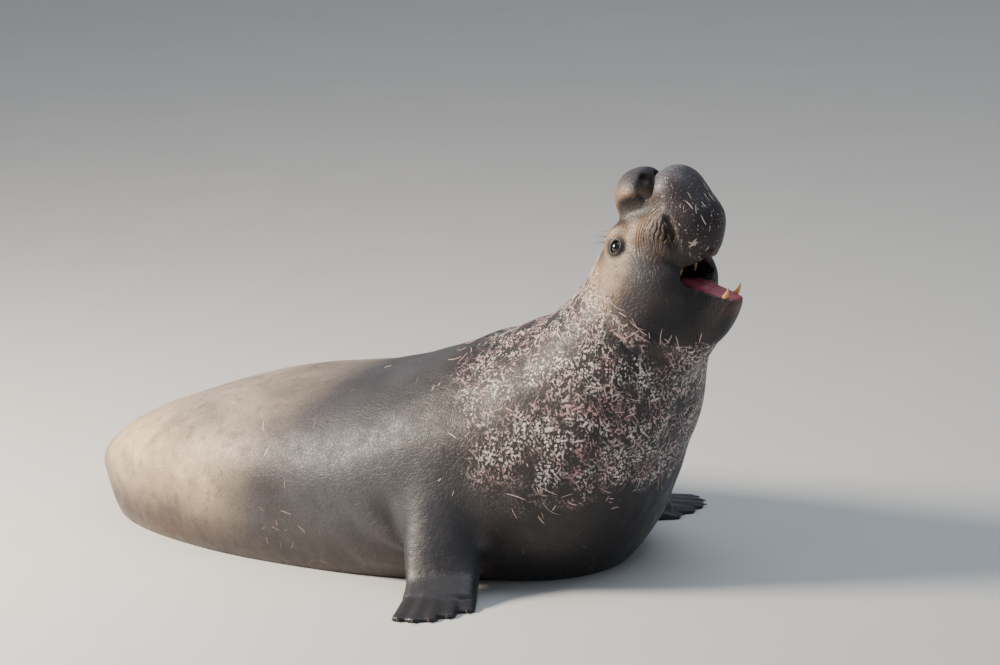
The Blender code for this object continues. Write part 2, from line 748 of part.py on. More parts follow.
COLOURS = {
    "hide_rear": ((0.42, 0.36, 0.29), 0.62),
    "hide_back": ((0.17, 0.17, 0.18), 0.55),
    "hide_chest": ((0.11, 0.08, 0.07), 0.60),
    "hide_face": ((0.38, 0.33, 0.28), 0.60),
    "hide_nose": ((0.20, 0.16, 0.15), 0.55),
    "hide_flipper": ((0.07, 0.08, 0.09), 0.45),
    "mouth_lining": ((0.52, 0.20, 0.24), 0.35),
    "eye_gloss": ((0.01, 0.01, 0.012), 0.05),
    "tooth_ivory": ((0.80, 0.58, 0.30), 0.30),
}


def build():
    clear_scene()
    made = {}
    body = flesh_mesh()

    # Thin cuts, from the tail to the head
    body, rear = split(body, (-1.55, 0.0, 0.3), (1.0, 0.0, 0.1))
    ankle = ANKLE - turned(HIND_HEADING)[0] * 0.02
    rear_end, made["hindquarters"] = split(rear, ankle, turned(HIND_HEADING)[0])
    across = turned(HIND_HEADING)[1]
    made["hind_flipper_right"], rest = split(rear_end, ANKLE + across * 0.055, across)
    made["tail"], made["hind_flipper_left"] = split(rest, ANKLE - across * 0.055, across)
    body, made["torso"] = split(body, (-0.62, 0.0, 0.4), (1.0, 0.0, 0.25))
    head_side, chest = split(body, (0.18, 0.0, 0.70), (0.69, 0.0, 0.72))
    made["fore_flipper_right"], chest = split(chest, (-0.20, -0.60, 0.2), (0.19, -0.98, 0.0))
    made["fore_flipper_left"], made["chest"] = split(chest, (-0.20, 0.60, 0.2), (0.19, 0.98, 0.0))
    head_side, made["neck"] = split(head_side, (0.064, 0.0, 1.055), (0.237, 0.0, 0.971))
    nose_plane = 0.948 * FORWARD + 0.318 * UPWARD
    made["proboscis"], head_side = split(head_side, in_head(0.262, 0.0, -0.165), nose_plane)
    made["head"], made["lower_jaw"] = split(
        head_side, in_head(0.262, 0.0, -0.190), 0.332 * FORWARD + 0.943 * UPWARD)

    # Eyes, tongue and teeth, each in a seat of its own
    for side, sign in (("right", -1), ("left", 1)):
        centre = eye_centre(sign)
        made["eye_" + side] = ball_mesh(centre, EYE_RADIUS)
        made["head"] = combined(made["head"], ball_mesh(centre, EYE_RADIUS + SEAT), "DIFFERENCE")
        for upper, owner in ((False, "lower_jaw"), (True, "head")):
            rows = canine_rows(sign, upper)
            name = ("upper" if upper else "lower") + "_canine_" + side
            made[name] = tube_mesh(rows, LEFT, 10, 9)
            seat = tube_mesh(rows, LEFT, 10, 9, SEAT)
            made[owner] = combined(made[owner], seat, "DIFFERENCE")
    rows = head_rows(TONGUE)
    made["tongue"] = tube_mesh(rows, LEFT, 16, 12)
    for owner in ("lower_jaw", "head"):
        made[owner] = combined(made[owner], tube_mesh(rows, LEFT, 16, 12, SEAT), "DIFFERENCE")

    # Claws grow out of the fore flippers
    for side in ("right", "left"):
        name = "fore_flipper_" + side
        for rows in claw_rows(side):
            claw = tube_mesh(rows, (0, 0, 1), 8, 5)
            made[name] = combined(made[name], claw, "UNION")

    finish = {
        "hindquarters": "hide_rear", "torso": "hide_back", "tail": "hide_rear",
        "chest": "hide_chest", "neck": "hide_chest", "head": "hide_face",
        "proboscis": "hide_nose", "lower_jaw": "hide_chest", "tongue": "mouth_lining",
    }
    palette = {name: material(name, *look) for name, look in COLOURS.items()}
    boxes = []
    for name, mesh in made.items():
        mesh = made[name] = largest_body(mesh)
        if name.startswith("eye"):
            slot = "eye_gloss"
        elif "canine" in name:
            slot = "tooth_ivory"
        elif "flipper" in name:
            slot = "hide_flipper"
        else:
            slot = finish[name]
        mesh.materials.clear()
        mesh.materials.append(palette[slot])
        mesh.shade_smooth()
        mesh.set_sharp_from_angle(angle=math.radians(40))
        spots = np.array([v.co[:] for v in mesh.vertices])
        boxes += [spots.min(0), spots.max(0)]
    low, high = np.min(boxes, axis=0), np.max(boxes, axis=0)
    root = bpy.data.objects.new("bottom_centre", None)
    bpy.context.scene.collection.objects.link(root)
    root.location = (-(low[0] + high[0]) / 2, -(low[1] + high[1]) / 2, 0.0)
    for name, mesh in made.items():
        node = add_object(name, mesh)
        node.parent = root
        print(name, len(mesh.polygons), "faces")


build()
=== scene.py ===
# %% [markdown]
# # A bull elephant seal, reared up and roaring
# This lesson dresses a still, life-size model of a bull elephant seal. The solids already stand
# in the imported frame: trunk, neck, head, proboscis, jaw, flippers, eyes and canines. Here they
# get one continuous skin, markings, scars, lids, whiskers, claws, teeth and a wet mouth.
# The animal rests on its belly and fore flippers with its head thrown back.

import math

import bmesh
import bpy
import numpy as np
from mathutils import Matrix, Vector


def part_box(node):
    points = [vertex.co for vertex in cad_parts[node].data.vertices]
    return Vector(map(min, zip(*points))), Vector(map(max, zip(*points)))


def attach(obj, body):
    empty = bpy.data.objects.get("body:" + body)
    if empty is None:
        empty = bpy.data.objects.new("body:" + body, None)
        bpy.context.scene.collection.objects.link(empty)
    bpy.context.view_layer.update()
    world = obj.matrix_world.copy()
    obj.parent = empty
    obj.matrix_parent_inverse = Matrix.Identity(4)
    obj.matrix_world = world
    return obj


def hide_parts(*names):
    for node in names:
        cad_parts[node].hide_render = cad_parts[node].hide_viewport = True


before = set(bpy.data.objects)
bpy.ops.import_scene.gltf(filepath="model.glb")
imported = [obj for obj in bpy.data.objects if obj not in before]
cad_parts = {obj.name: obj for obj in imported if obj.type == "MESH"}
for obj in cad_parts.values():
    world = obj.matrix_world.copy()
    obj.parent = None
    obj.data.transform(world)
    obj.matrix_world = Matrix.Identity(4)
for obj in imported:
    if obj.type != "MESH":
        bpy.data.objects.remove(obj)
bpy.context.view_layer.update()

# %% [markdown]
# ## The sizes that drive the body
# A seal's trunk is a spindle of blubber round a bending spine, so its size is given by rows
# along that spine: the place of the axis, the half width, and how far the body reaches above
# and below it. The same rows shaped the solids. They could be replaced by measured outlines,
# but rows are few, readable, and every one of them is a real size in metres.

# %% Sizes of the trunk
TRUNK = [
    (-2.40, 0.68, 0.10, 0.115, 0.075, 0.140),
    (-2.28, 0.46, 0.14, 0.190, 0.110, 0.200),
    (-2.11, 0.22, 0.20, 0.320, 0.140, 0.320),
    (-1.84, 0.06, 0.26, 0.460, 0.210, 0.420),
    (-1.40, 0.00, 0.31, 0.575, 0.305, 0.480),
    (-0.90, 0.00, 0.34, 0.630, 0.360, 0.500),
    (-0.45, 0.00, 0.39, 0.615, 0.425, 0.500),
    (-0.08, 0.00, 0.49, 0.540, 0.460, 0.480),
    (0.18, 0.00, 0.70, 0.430, 0.385, 0.365),
    (0.335, 0.00, 0.92, 0.335, 0.275, 0.280),
    (0.42, 0.00, 1.08, 0.245, 0.190, 0.235),
    (0.47, 0.00, 1.20, 0.150, 0.100, 0.150),
]
BREAST_AT, BREAST_SIZE = (0.00, 0.0, 0.34), (0.35, 0.42, 0.42)
print("the trunk is", round(TRUNK[-1][0] - TRUNK[0][0], 2), "m from ankle to nape")

# %% [markdown]
# ## The head has a frame of its own
# The muzzle points up by fifty degrees. Measuring the head along its own three directions,
# forward, left and up, keeps its numbers readable: the eye is 15 cm forward of the ears and
# 7 cm above the middle of the skull, whatever way the neck throws it.

# %% The head's frame and its sizes
HEAD_AT = np.array([0.36, 0.0, 1.17])
HEAD_PITCH = math.radians(50.0)
FORWARD = np.array([math.cos(HEAD_PITCH), 0.0, math.sin(HEAD_PITCH)])
UPWARD = np.array([-math.sin(HEAD_PITCH), 0.0, math.cos(HEAD_PITCH)])
LEFT = np.array([0.0, 1.0, 0.0])

SKULL = [
    (-0.42, 0.0, -0.10, 0.120, 0.070, 0.140),
    (-0.24, 0.0, -0.05, 0.175, 0.128, 0.220),
    (-0.08, 0.0, -0.03, 0.190, 0.155, 0.240),
    (0.06, 0.0, 0.00, 0.182, 0.155, 0.200),
    (0.17, 0.0, 0.01, 0.155, 0.137, 0.170),
    (0.27, 0.0, -0.01, 0.145, 0.130, 0.130),
    (0.36, 0.0, -0.02, 0.124, 0.110, 0.110),
]
JAW = [
    (0.00, 0.0, -0.14, 0.190, 0.200, 0.150),
    (0.08, 0.0, -0.22, 0.152, 0.150, 0.190),
    (0.11, 0.0, -0.30, 0.104, 0.128, 0.165),
    (0.145, 0.0, -0.355, 0.080, 0.130, 0.130),
    (0.150, 0.0, -0.392, 0.066, 0.140, 0.105),
]
GAPE = [
    (0.12, 0.0, -0.10, 0.070, 0.030, 0.030),
    (0.205, 0.0, -0.190, 0.112, 0.050, 0.032),
    (0.265, 0.0, -0.27, 0.102, 0.085, 0.046),
    (0.34, 0.0, -0.36, 0.088, 0.120, 0.064),
]
CHEEK_GROOVE = [
    (0.376, 0.132, -0.020, 0.014, 0.018, 0.018),
    (0.362, 0.136, -0.050, 0.016, 0.022, 0.022),
    (0.315, 0.140, -0.110, 0.016, 0.022, 0.022),
    (0.262, 0.136, -0.165, 0.015, 0.020, 0.020),
]
TONGUE = [
    (0.105, 0.0, -0.130, 0.040, 0.018, 0.020),
    (0.150, 0.0, -0.190, 0.050, 0.022, 0.026),
    (0.190, 0.0, -0.260, 0.046, 0.020, 0.024),
    (0.215, 0.0, -0.315, 0.036, 0.014, 0.018),
]
EYE_RADIUS = 0.030
EYE_AT = (0.147, 0.150, 0.074)
EYE_SHOWS = 0.011
CANINE_RADIUS = 0.011
print("the head's middle lies", HEAD_AT[2], "m above the floor")

# %% [markdown]
# ## Flippers are arms and fans of digits
# A fore flipper is a short arm that ends in five digits in one sheet of skin. A hind flipper is
# a fan whose outer digits are the longest. Both could be cut from a flat outline, but then they
# would have no knuckles. So the sizes here are those of the arm and of the digits.

# %% Sizes of the flippers
ARM = [
    (-0.22, 0.34, 0.46, 0.200, 0.170, 0.170),
    (-0.22, 0.47, 0.34, 0.175, 0.130, 0.130),
    (-0.18, 0.58, 0.19, 0.150, 0.085, 0.085),
    (-0.13, 0.66, 0.085, 0.140, 0.050, 0.110),
    (-0.09, 0.74, 0.04, 0.135, 0.034, 0.080),
]
WRIST = np.array([-0.115, 0.69, 0.0])
FORE_HEADING = {"right": 65.0, "left": 44.0}
FORE_LENGTHS = (0.125, 0.195, 0.240, 0.250, 0.235)
FORE_SPACING = (0.046, 0.060)
CLAW_LENGTH, CLAW_RADIUS = 0.045, 0.008

ANKLE = np.array([-2.41, 0.66, 0.0])
HIND_HEADING = math.radians(112.0)
HIND_APART, HIND_SPLAY = 0.105, math.radians(12.0)
HIND_LENGTH, HIND_LUNE = 0.36, 0.17
HIND_SPACING = (0.110, 0.300)
print("the longest fore digit is", max(FORE_LENGTHS), "m long")


# %% [markdown]
# ## Shapes as distances
# Each form of the body is a distance: negative inside, zero on its surface. Two forms melt into
# one by taking the smaller distance with a soft fillet, which is how flesh joins flesh. Polygon
# modelling would need its joints stitched by hand; a formula joins them anywhere.

# %% Blending distances
def smooth_min(a, b, k):
    """The lesser of two distances; where they differ by less than k, a parabola joins them."""
    h = np.clip(0.5 + 0.5 * (b - a) / k, 0.0, 1.0)
    return b + (a - b) * h - k * h * (1.0 - h)


def carve(a, b, k):
    """Distance a with form b taken out of it, and the rim rounded by about k."""
    return -smooth_min(-a, b, k)


def ramp(x, low, high):
    """0 below low, 1 above high, and an S curve, 3t^2 - 2t^3, in between."""
    t = np.clip((x - low) / (high - low), 0.0, 1.0)
    return t * t * (3.0 - 2.0 * t)


def ellipsoid(p, centre, radii, axes=None):
    """Distance to an ellipsoid: (r - 1) scaled by the slope of r, r being the scaled radius."""
    q = p - np.asarray(centre, float)
    if axes is not None:
        q = q @ np.asarray(axes, float).T
    radii = np.asarray(radii, float)
    r = np.linalg.norm(q / radii, axis=1)
    slope = np.linalg.norm(q / radii**2, axis=1)
    return r * (r - 1.0) / np.maximum(slope, 1e-6)


# %% [markdown]
# ## An oval tube along a path
# The trunk, the digits, the jaw and even the open mouth are oval tubes. A point finds its foot
# on the path by Newton steps, and the section there tells how far inside or outside it is. An
# exponent above 2 makes the section boxier, as where the belly spreads on the ground.

# %% Paths and tubes
def smooth_rows(rows, n):
    """n rows read from a smooth curve through the given ones: a cubic in chord length."""
    rows = np.asarray(rows, float)
    chord = np.linalg.norm(np.diff(rows[:, :3], axis=0), axis=1)
    s = np.concatenate([[0.0], np.cumsum(chord)])
    slope = np.zeros_like(rows)
    slope[1:-1] = (rows[2:] - rows[:-2]) / (s[2:] - s[:-2])[:, None]
    slope[0] = (rows[1] - rows[0]) / chord[0]
    slope[-1] = (rows[-1] - rows[-2]) / chord[-1]
    t = np.linspace(0.0, s[-1], n)
    i = np.clip(np.searchsorted(s, t, side="right") - 1, 0, len(rows) - 2)
    h = (s[i + 1] - s[i])[:, None]
    u = ((t - s[i]) / h[:, 0])[:, None]
    return (
        (2 * u**3 - 3 * u**2 + 1) * rows[i]
        + (u**3 - 2 * u**2 + u) * h * slope[i]
        + (3 * u**2 - 2 * u**3) * rows[i + 1]
        + (u**3 - u**2) * h * slope[i + 1]
    )


def path_frames(rows, side):
    """Unit tangent, sideways and upward vectors at each row of a path."""
    tangent = np.gradient(rows[:, :3], axis=0)
    tangent /= np.linalg.norm(tangent, axis=1)[:, None]
    side = np.broadcast_to(np.asarray(side, float), tangent.shape)
    lateral = side - (side * tangent).sum(1)[:, None] * tangent
    lateral /= np.linalg.norm(lateral, axis=1)[:, None]
    return tangent, lateral, np.cross(tangent, lateral)


def tube(p, rows, side, n=48, top=2.0, low=2.0, caps=(1.0, 1.0), margin=0.25):
    """Distance to an oval tube: |l / width|^e + |h / height|^e = 1 across the path at the foot."""
    c = smooth_rows(rows, n)
    reach = c[:, 3:].max() + margin
    lo, hi = c[:, :3].min(0) - reach, c[:, :3].max(0) + reach
    near = np.all((p > lo) & (p < hi), axis=1)
    beyond = np.maximum(np.maximum(lo - p, p - hi), 0.0)
    out = margin + np.linalg.norm(beyond, axis=1)
    q = p[near]
    if not len(q):
        return out
    tangent, lateral, upward = path_frames(c, side)
    bend = np.gradient(tangent, axis=0)
    step = np.linalg.norm(np.diff(c[:, :3], axis=0), axis=1).mean()
    spine = c[:, :3]
    foot = np.argmax(q @ spine.T - 0.5 * (spine**2).sum(1), axis=1)

    def between(table, i, f):
        return table[i] * (1 - f) + table[i + 1] * f

    u = foot.astype(float)
    for _ in range(4):
        i = np.minimum(u.astype(int), n - 2)
        f = (u - i)[:, None]
        d = q - between(c[:, :3], i, f)
        curl = (d * between(bend, i, f)).sum(1)
        ahead = (d * between(tangent, i, f)).sum(1)
        u = np.clip(u + ahead / np.maximum(step - curl, 0.35 * step), 0.0, n - 1.0)
    i = np.minimum(u.astype(int), n - 2)
    f = (u - i)[:, None]
    row = between(c, i, f)
    d = q - row[:, :3]
    ahead = (d * between(tangent, i, f)).sum(1)
    l = (d * between(lateral, i, f)).sum(1)
    h = (d * between(upward, i, f)).sum(1)
    ahead = np.where((u <= 0) | (u >= n - 1), ahead, 0.0)
    cap = np.where(u < n / 2, caps[0], caps[1]) * np.minimum(row[:, 3], row[:, 4])
    tall = np.where(h > 0, row[:, 4], row[:, 5])
    e = np.where(h > 0, top, low)
    r = (np.abs(l / row[:, 3]) ** e + np.abs(h / tall) ** e) ** (1 / e)
    r = np.sqrt(r**2 + (ahead / np.maximum(cap, 1e-4)) ** 2)
    size = np.minimum(row[:, 3], tall)
    rho = np.sqrt((d * d).sum(1))
    outside = rho * (1 - 1 / np.maximum(r, 1e-3))
    out[near] = np.where(r < 0.3, np.minimum(outside, -0.7 * size * (1 - r)), outside)
    return out


# %% [markdown]
# ## From the head's frame to the body's, and back
# Places on the face are given in the head's frame, so two short functions turn them into places
# in the body's frame and back. A third folds all points onto the left side. It spares making
# each paired form twice, and keeps the two halves of the face exactly alike.

# %% The head's own directions
def in_head(f, l, u):
    """The place, or one row for each place, that lies f forward, l left and u up in the head."""
    forward, left, upward = (np.multiply.outer(*pair) for pair in ((f, FORWARD), (l, LEFT), (u, UPWARD)))
    return HEAD_AT + forward + left + upward


def head_rows(rows):
    return [np.r_[in_head(*row[:3]), row[3:]] for row in rows]


def to_head(p):
    """The places of points in the head's frame: how far forward, left and up they are."""
    return (p - HEAD_AT) @ np.stack([FORWARD, LEFT, UPWARD]).T


def head_ball(p, at, radii, tilt=0.0, turn=0.0):
    """An ellipsoid in the head's frame, pitched up by tilt and turned to the left by turn."""
    t, y = math.radians(tilt), math.radians(turn)
    f = math.cos(t) * FORWARD + math.sin(t) * UPWARD
    u = -math.sin(t) * FORWARD + math.cos(t) * UPWARD
    axes = [math.cos(y) * f + math.sin(y) * LEFT, -math.sin(y) * f + math.cos(y) * LEFT, u]
    return ellipsoid(p, in_head(*at), radii, axes)


def both_sides(p):
    """The points folded onto the left side, so that a form on it also stands on the right."""
    q = p.copy()
    q[:, 1] = np.abs(q[:, 1])
    return q


# %% [markdown]
# ## The forms of the animal
# A bull's proboscis swells in two lobes when he roars: a hump above the eyes and a bag that
# hangs over the mouth, with a deep cleft between them. The whisker pads bulge on either side of
# the muzzle, and a groove parts each pad from the hanging bag down to the corner of the mouth.

# %% Trunk, skull and proboscis
def trunk(p):
    body = tube(p, TRUNK, LEFT, 80, 2.1, 2.8, (0.8, 0.8), margin=0.4)
    return smooth_min(body, ellipsoid(p, BREAST_AT, BREAST_SIZE), 0.15)


def skull(p):
    q = both_sides(p)
    d = tube(p, head_rows(SKULL), LEFT, 40, caps=(0.8, 0.6))
    d = smooth_min(d, head_ball(q, (0.10, 0.110, -0.12), (0.15, 0.090, 0.13), -20), 0.06)
    d = smooth_min(d, head_ball(q, (0.285, 0.085, -0.035), (0.095, 0.068, 0.095), 25, -8), 0.03)
    return smooth_min(d, head_ball(q, (0.145, 0.095, 0.105), (0.075, 0.050, 0.045)), 0.04)


def nose_hump(p):
    return head_ball(p, (0.294, 0.0, 0.152), (0.114, 0.118, 0.112), 15)


def nose_bag(p):
    d = head_ball(p, (0.420, 0.0, 0.066), (0.088, 0.104, 0.085))
    d = smooth_min(d, head_ball(p, (0.374, 0.0, -0.062), (0.120, 0.117, 0.126)), 0.09)
    return smooth_min(d, head_ball(p, (0.300, 0.0, -0.120), (0.105, 0.106, 0.098), -15), 0.06)


def jaw(p):
    d = tube(p, head_rows(JAW), LEFT, 24, 2.6, 2.4, (0.5, 0.55))
    return smooth_min(d, head_ball(p, (-0.03, 0.0, -0.27), (0.20, 0.16, 0.15), 8), 0.06)


def gape(p):
    """The open mouth: a wedge between palate and lower jaw, narrower than the cheeks."""
    return tube(p, head_rows(GAPE), LEFT, 24, 2.2, 2.2, (0.6, 0.6))


# %% [markdown]
# ## Digits melt into flippers
# Each digit is a tube through three rows: root, knuckle and tip. The blend between neighbours
# fills the gap like the web of skin. A web made as a sheet of its own would leave a seam along
# each digit.

# %% Fore and hind flippers
def turned(heading):
    """Unit vectors along a heading on the floor and to the left of it."""
    along = np.array([math.cos(heading), math.sin(heading), 0.0])
    return along, np.array([-along[1], along[0], 0.0])


def fore_digits(side):
    """Rows of the five digits, the leading one first, as if both flippers were left ones."""
    along, across = turned(math.radians(FORE_HEADING[side]))
    digits = []
    for k, length in enumerate(FORE_LENGTHS):
        out = [(k - 2) * spacing for spacing in FORE_SPACING]
        root = WRIST + across * out[0] - along * 0.03
        knee = WRIST + across * (0.4 * out[0] + 0.6 * out[1]) + along * length * 0.5
        tip = WRIST + across * out[1] + along * length
        wide = (0.036, 0.033, 0.032, 0.032, 0.033)[k]
        digits.append([
            (*root[:2], 0.050, wide, 0.030, 0.090),
            (*knee[:2], 0.022, wide, 0.020, 0.070),
            (*tip[:2], 0.008, wide * 0.90, 0.014, 0.050),
        ])
    return digits, across


def fore_flipper(p, side):
    q = p.copy()
    if side == "right":
        q[:, 1] = -q[:, 1]
    d = tube(q, ARM, (-0.91, 0.42, 0.0), 32, 2.2, 2.2)
    digits, across = fore_digits(side)
    for rows in digits:
        d = smooth_min(d, tube(q, rows, across, 14, margin=0.12), 0.024)
    return d


def hind_flipper(p, sign):
    """A fan of five digits, the outer ones longest; sign is 1 for the right one."""
    middle = turned(HIND_HEADING)[1]
    along, across = turned(HIND_HEADING + sign * HIND_SPLAY)
    base = ANKLE + middle * sign * HIND_APART - along * 0.03
    d = None
    for e in np.linspace(-1.0, 1.0, 5):
        length = HIND_LENGTH + HIND_LUNE * e * e
        root, tip = (base + across * e * spacing / 2 for spacing in HIND_SPACING)
        tip = tip + along * length
        knee = 0.47 * root + 0.53 * tip
        wide = 0.031 + 0.006 * e * e
        rows = [
            (*root[:2], 0.070, 0.045, 0.044, 0.110),
            (*knee[:2], 0.030, wide * 1.15, 0.020, 0.080),
            (*tip[:2], 0.010, wide * 0.92, 0.013, 0.050),
        ]
        digit = tube(p, rows, across, 14, margin=0.12)
        d = digit if d is None else smooth_min(d, digit, 0.024)
    return d


def tail(p):
    along, across = turned(HIND_HEADING)
    tip = ANKLE + along * 0.13
    rows = [(*ANKLE[:2], 0.10, 0.06, 0.045, 0.14), (*tip[:2], 0.065, 0.034, 0.024, 0.10)]
    return tube(p, rows, across, 10, margin=0.12)


def fore_limbs(p):
    return np.minimum(fore_flipper(p, "right"), fore_flipper(p, "left"))


def hind_limbs(p):
    fans = np.minimum(hind_flipper(p, -1), hind_flipper(p, 1))
    return smooth_min(fans, tail(p), 0.03)


# %% [markdown]
# ## One body
# All forms are joined, and the mouth, the cleft, the grooves and the nostrils are carved out of
# the whole. A ray from inside the face finds where each eye breaks the skin. The solid eye then
# tells how far the frame's origin is from the seal's own, and SHIFT makes up for it.

# %% The whole body, as the solids have it
def flesh_and_limbs(p):
    """Distances to the whole animal, without eyes, teeth and tongue, and to its limbs alone."""
    p = np.column_stack([p[:, :2], np.maximum(p[:, 2], 0.0)])
    q = both_sides(p)
    d = smooth_min(trunk(p), skull(p), 0.10)
    d = smooth_min(d, jaw(p), 0.05)
    d = smooth_min(d, nose_hump(p), 0.045)
    d = smooth_min(d, nose_bag(p), 0.045)
    d = carve(d, gape(p), 0.015)
    d = carve(d, head_ball(q, (0.392, 0.045, 0.170), (0.016, 0.070, 0.070), -35), 0.026)
    d = carve(d, head_ball(q, (0.378, 0.078, 0.138), (0.026, 0.035, 0.032), -35), 0.026)
    d = carve(d, tube(q, head_rows(CHEEK_GROOVE), (1, 0, 0), 24, margin=0.08), 0.018)
    d = carve(d, head_ball(q, (0.335, 0.036, -0.205), (0.026, 0.016, 0.030), -25), 0.010)
    fore, hind = fore_limbs(p), hind_limbs(p)
    d = smooth_min(smooth_min(d, fore, 0.06), hind, 0.05)
    return d, np.minimum(fore, hind)


def flesh(p):
    return flesh_and_limbs(p)[0]


def skin_point(start, towards, far=0.25):
    """Where a ray from inside the flesh leaves it, and the ray's unit direction."""
    towards = np.asarray(towards, float) / np.linalg.norm(towards)
    t = np.linspace(0.0, far, 400)
    values = flesh(np.asarray(start, float) + t[:, None] * towards)
    k = int(np.argmax(values > 0))
    return np.asarray(start, float) + towards * t[k], towards


def eye_place(sign):
    """The centre of an eyeball and the way it looks out of the face."""
    f, _, u = EYE_AT
    outward = 0.94 * sign * LEFT + 0.22 * FORWARD + 0.26 * UPWARD
    at, outward = skin_point(in_head(f - 0.02, sign * 0.09, u - 0.02), outward)
    return at - outward * (EYE_RADIUS - EYE_SHOWS), outward


EYES = {"right": eye_place(-1), "left": eye_place(1)}
low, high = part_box("eye_right")
SHIFT = (np.array(low) + np.array(high)) / 2 - EYES["right"][0]
print("the frame's origin lies at", np.round(-SHIFT, 4), "in the seal's own measures")


# %% [markdown]
# ## The finer relief of the skin
# Lids, ear pits, the folds where the flipper meets the body, the creases low on the cheek and
# the wrinkles over the whisker pad are too fine for the solids. They could be bump in a
# material, but bump has no outline and no shadow. So each is a small term added to the same
# distance, and the skin's own mesh carries it. Lids and ears come first.

# %% Lids and ear pits
EAR = skin_point(in_head(0.005, 0.09, -0.045), LEFT)
LID_THICKNESS = 0.006


def lids(p, d):
    """A ball a lid's thickness larger than the eyeball, with an almond opening cut in front."""
    for centre, outward in EYES.values():
        d = smooth_min(d, ellipsoid(p, centre, [EYE_RADIUS + LID_THICKNESS] * 3), 0.016)
        ahead = FORWARD - (FORWARD @ outward) * outward
        ahead /= np.linalg.norm(ahead)
        ahead = 0.94 * ahead - 0.34 * np.cross(outward, ahead) * np.sign(outward[1])
        across = np.cross(outward, ahead)
        opening = ellipsoid(p, centre + outward * EYE_RADIUS, (0.0265, 0.0190, 0.018),
                            [ahead, across, outward])
        d = carve(d, opening, 0.006)
    return d


def ear_pits(p, d):
    """A true seal has no outer ear: only a hole behind the eye with a low rim."""
    q = both_sides(p)
    at, outward = EAR
    d = smooth_min(d, ellipsoid(q, at - outward * 0.010, (0.018, 0.012, 0.022)), 0.014)
    return carve(d, ellipsoid(q, at, (0.004, 0.006, 0.004)), 0.007)


print("the ear pit lies at", np.round(EAR[0], 3))

# %% [markdown]
# ## Folds of the body
# Blubber hangs in broad, uneven waves, and the skin bunches where the flipper leaves the body.
# Noise would do for the waves, but a product of sines has a slope everywhere, which the Newton
# steps need. The armpit's folds fan out round one point, so they are a sine of the angle.

# %% Waves and folds
def waves(x, y, z, scale, seed):
    """A smooth, uneven field between -1 and 1: products of sines of unlike wavelengths."""
    a, b, c = seed
    return (
        np.sin(scale * x + 1.1 * np.sin(1.7 * scale * y + a) + b)
        * np.sin(0.83 * scale * y + 1.2 * np.sin(1.3 * scale * z + c) + a)
        + np.sin(1.31 * scale * z + 1.0 * np.sin(0.9 * scale * x + b) + c)
    ) / 2


def folds(p):
    """How far the skin rises in metres: blubber waves, creases on the cheek, armpit folds."""
    x, y, z = p.T
    rise = 0.0045 * waves(x, y, z, 9.0, (0.3, 1.1, 2.0))
    rise += 0.0022 * waves(x, y, z, 23.0, (1.3, 0.4, 2.6))
    # Short creases low on the cheek, where the jaw's skin meets the neck
    f, l, u = to_head(p).T
    crease_at = np.exp(-((f + 0.06) / 0.07) ** 2 - ((u + 0.20) / 0.10) ** 2) * ramp(np.abs(l), 0.10, 0.16)
    creases = np.sin(2 * np.pi * (f + 0.25 * u + 0.01 * np.sin(40 * u)) / 0.045)
    rise -= 0.005 * crease_at * ramp(creases, 0.2, 1)
    # Folds that fan out from the armpit over the shoulder
    reach_x, reach_z = x + 0.26, z - 0.10
    radius = np.sqrt(reach_x**2 + reach_z**2)
    fan = np.arctan2(reach_z, reach_x)
    flank = ramp(np.abs(y), 0.42, 0.52)
    near_arm = flank * ramp(radius, 0.04, 0.10) * (1 - ramp(radius, 0.20, 0.42))
    behind = 1 - ramp(x, -0.30, -0.20)
    rise += 0.0065 * near_arm * (0.35 + 0.65 * behind) * np.sin(fan * 10.0 + 3.0 * radius)
    return rise


# %% [markdown]
# ## Wrinkles of the face
# With the mouth wide open, the whisker pad is pushed together into pleats, and fine arcs run
# round it. Below the hump a soft trough leads to the cleft. Rings round a middle and stripes
# along a slope give both kinds of wrinkle, and a mask keeps each where it grows.

# %% Whisker pad, valley and wrinkles
def pad_mask(f, u):
    """1 in the middle of the whisker pad's hollow, 0 outside it, in the head's side view."""
    return np.exp(-((f - 0.325) / 0.034) ** 2 - ((u + 0.045) / 0.055) ** 2)


def valley(p):
    """The soft trough under the hump, from the waist of the forehead to the cleft."""
    rows = [(0.180, 0.112, 0.180, 0.022, 0.022, 0.022), (0.250, 0.126, 0.150, 0.030, 0.030, 0.030),
            (0.320, 0.126, 0.104, 0.032, 0.032, 0.032), (0.380, 0.132, 0.062, 0.022, 0.022, 0.022)]
    return tube(both_sides(p), head_rows(rows), (1, 0, 0), 20, margin=0.12)


def face_wrinkles(p):
    """Fine arcs round the whisker pad, pleats on it, and faint pleats on the chin."""
    f, l, u = to_head(p).T
    side = ramp(np.abs(l), 0.05, 0.10)
    span = np.hypot(f - 0.33, 1.1 * (u + 0.06))
    arcs = np.sin(2 * np.pi * (span + 0.004 * np.sin(40 * u)) / 0.0145)
    crown = ramp(span, 0.085, 0.105) * (1 - ramp(span, 0.135, 0.165)) * ramp(u, -0.05, 0.02)
    rise = 0.0016 * side * arcs * crown * (1 - ramp(f, 0.37, 0.40))
    pleats = np.sin(2 * np.pi * (f * 0.5 - u * 0.87 + 0.003 * np.sin(150 * f)) / 0.019)
    pad = pad_mask(f, u)
    rise -= 0.0045 * side * pad * ramp(pleats, 0.0, 0.9)
    chin = np.exp(-((f - 0.20) / 0.07) ** 2 - ((u + 0.43) / 0.05) ** 2)
    return rise + 0.0005 * chin * np.sin(2 * np.pi * (f + 0.3 * u) / 0.016)


# %% [markdown]
# ## The skin's distance
# Flesh and relief are put together here. The order matters: the relief moves the surface, the
# trough and the pit are carved into it, the lids and ear rims stand on top, and the floor cuts
# the belly flat last.

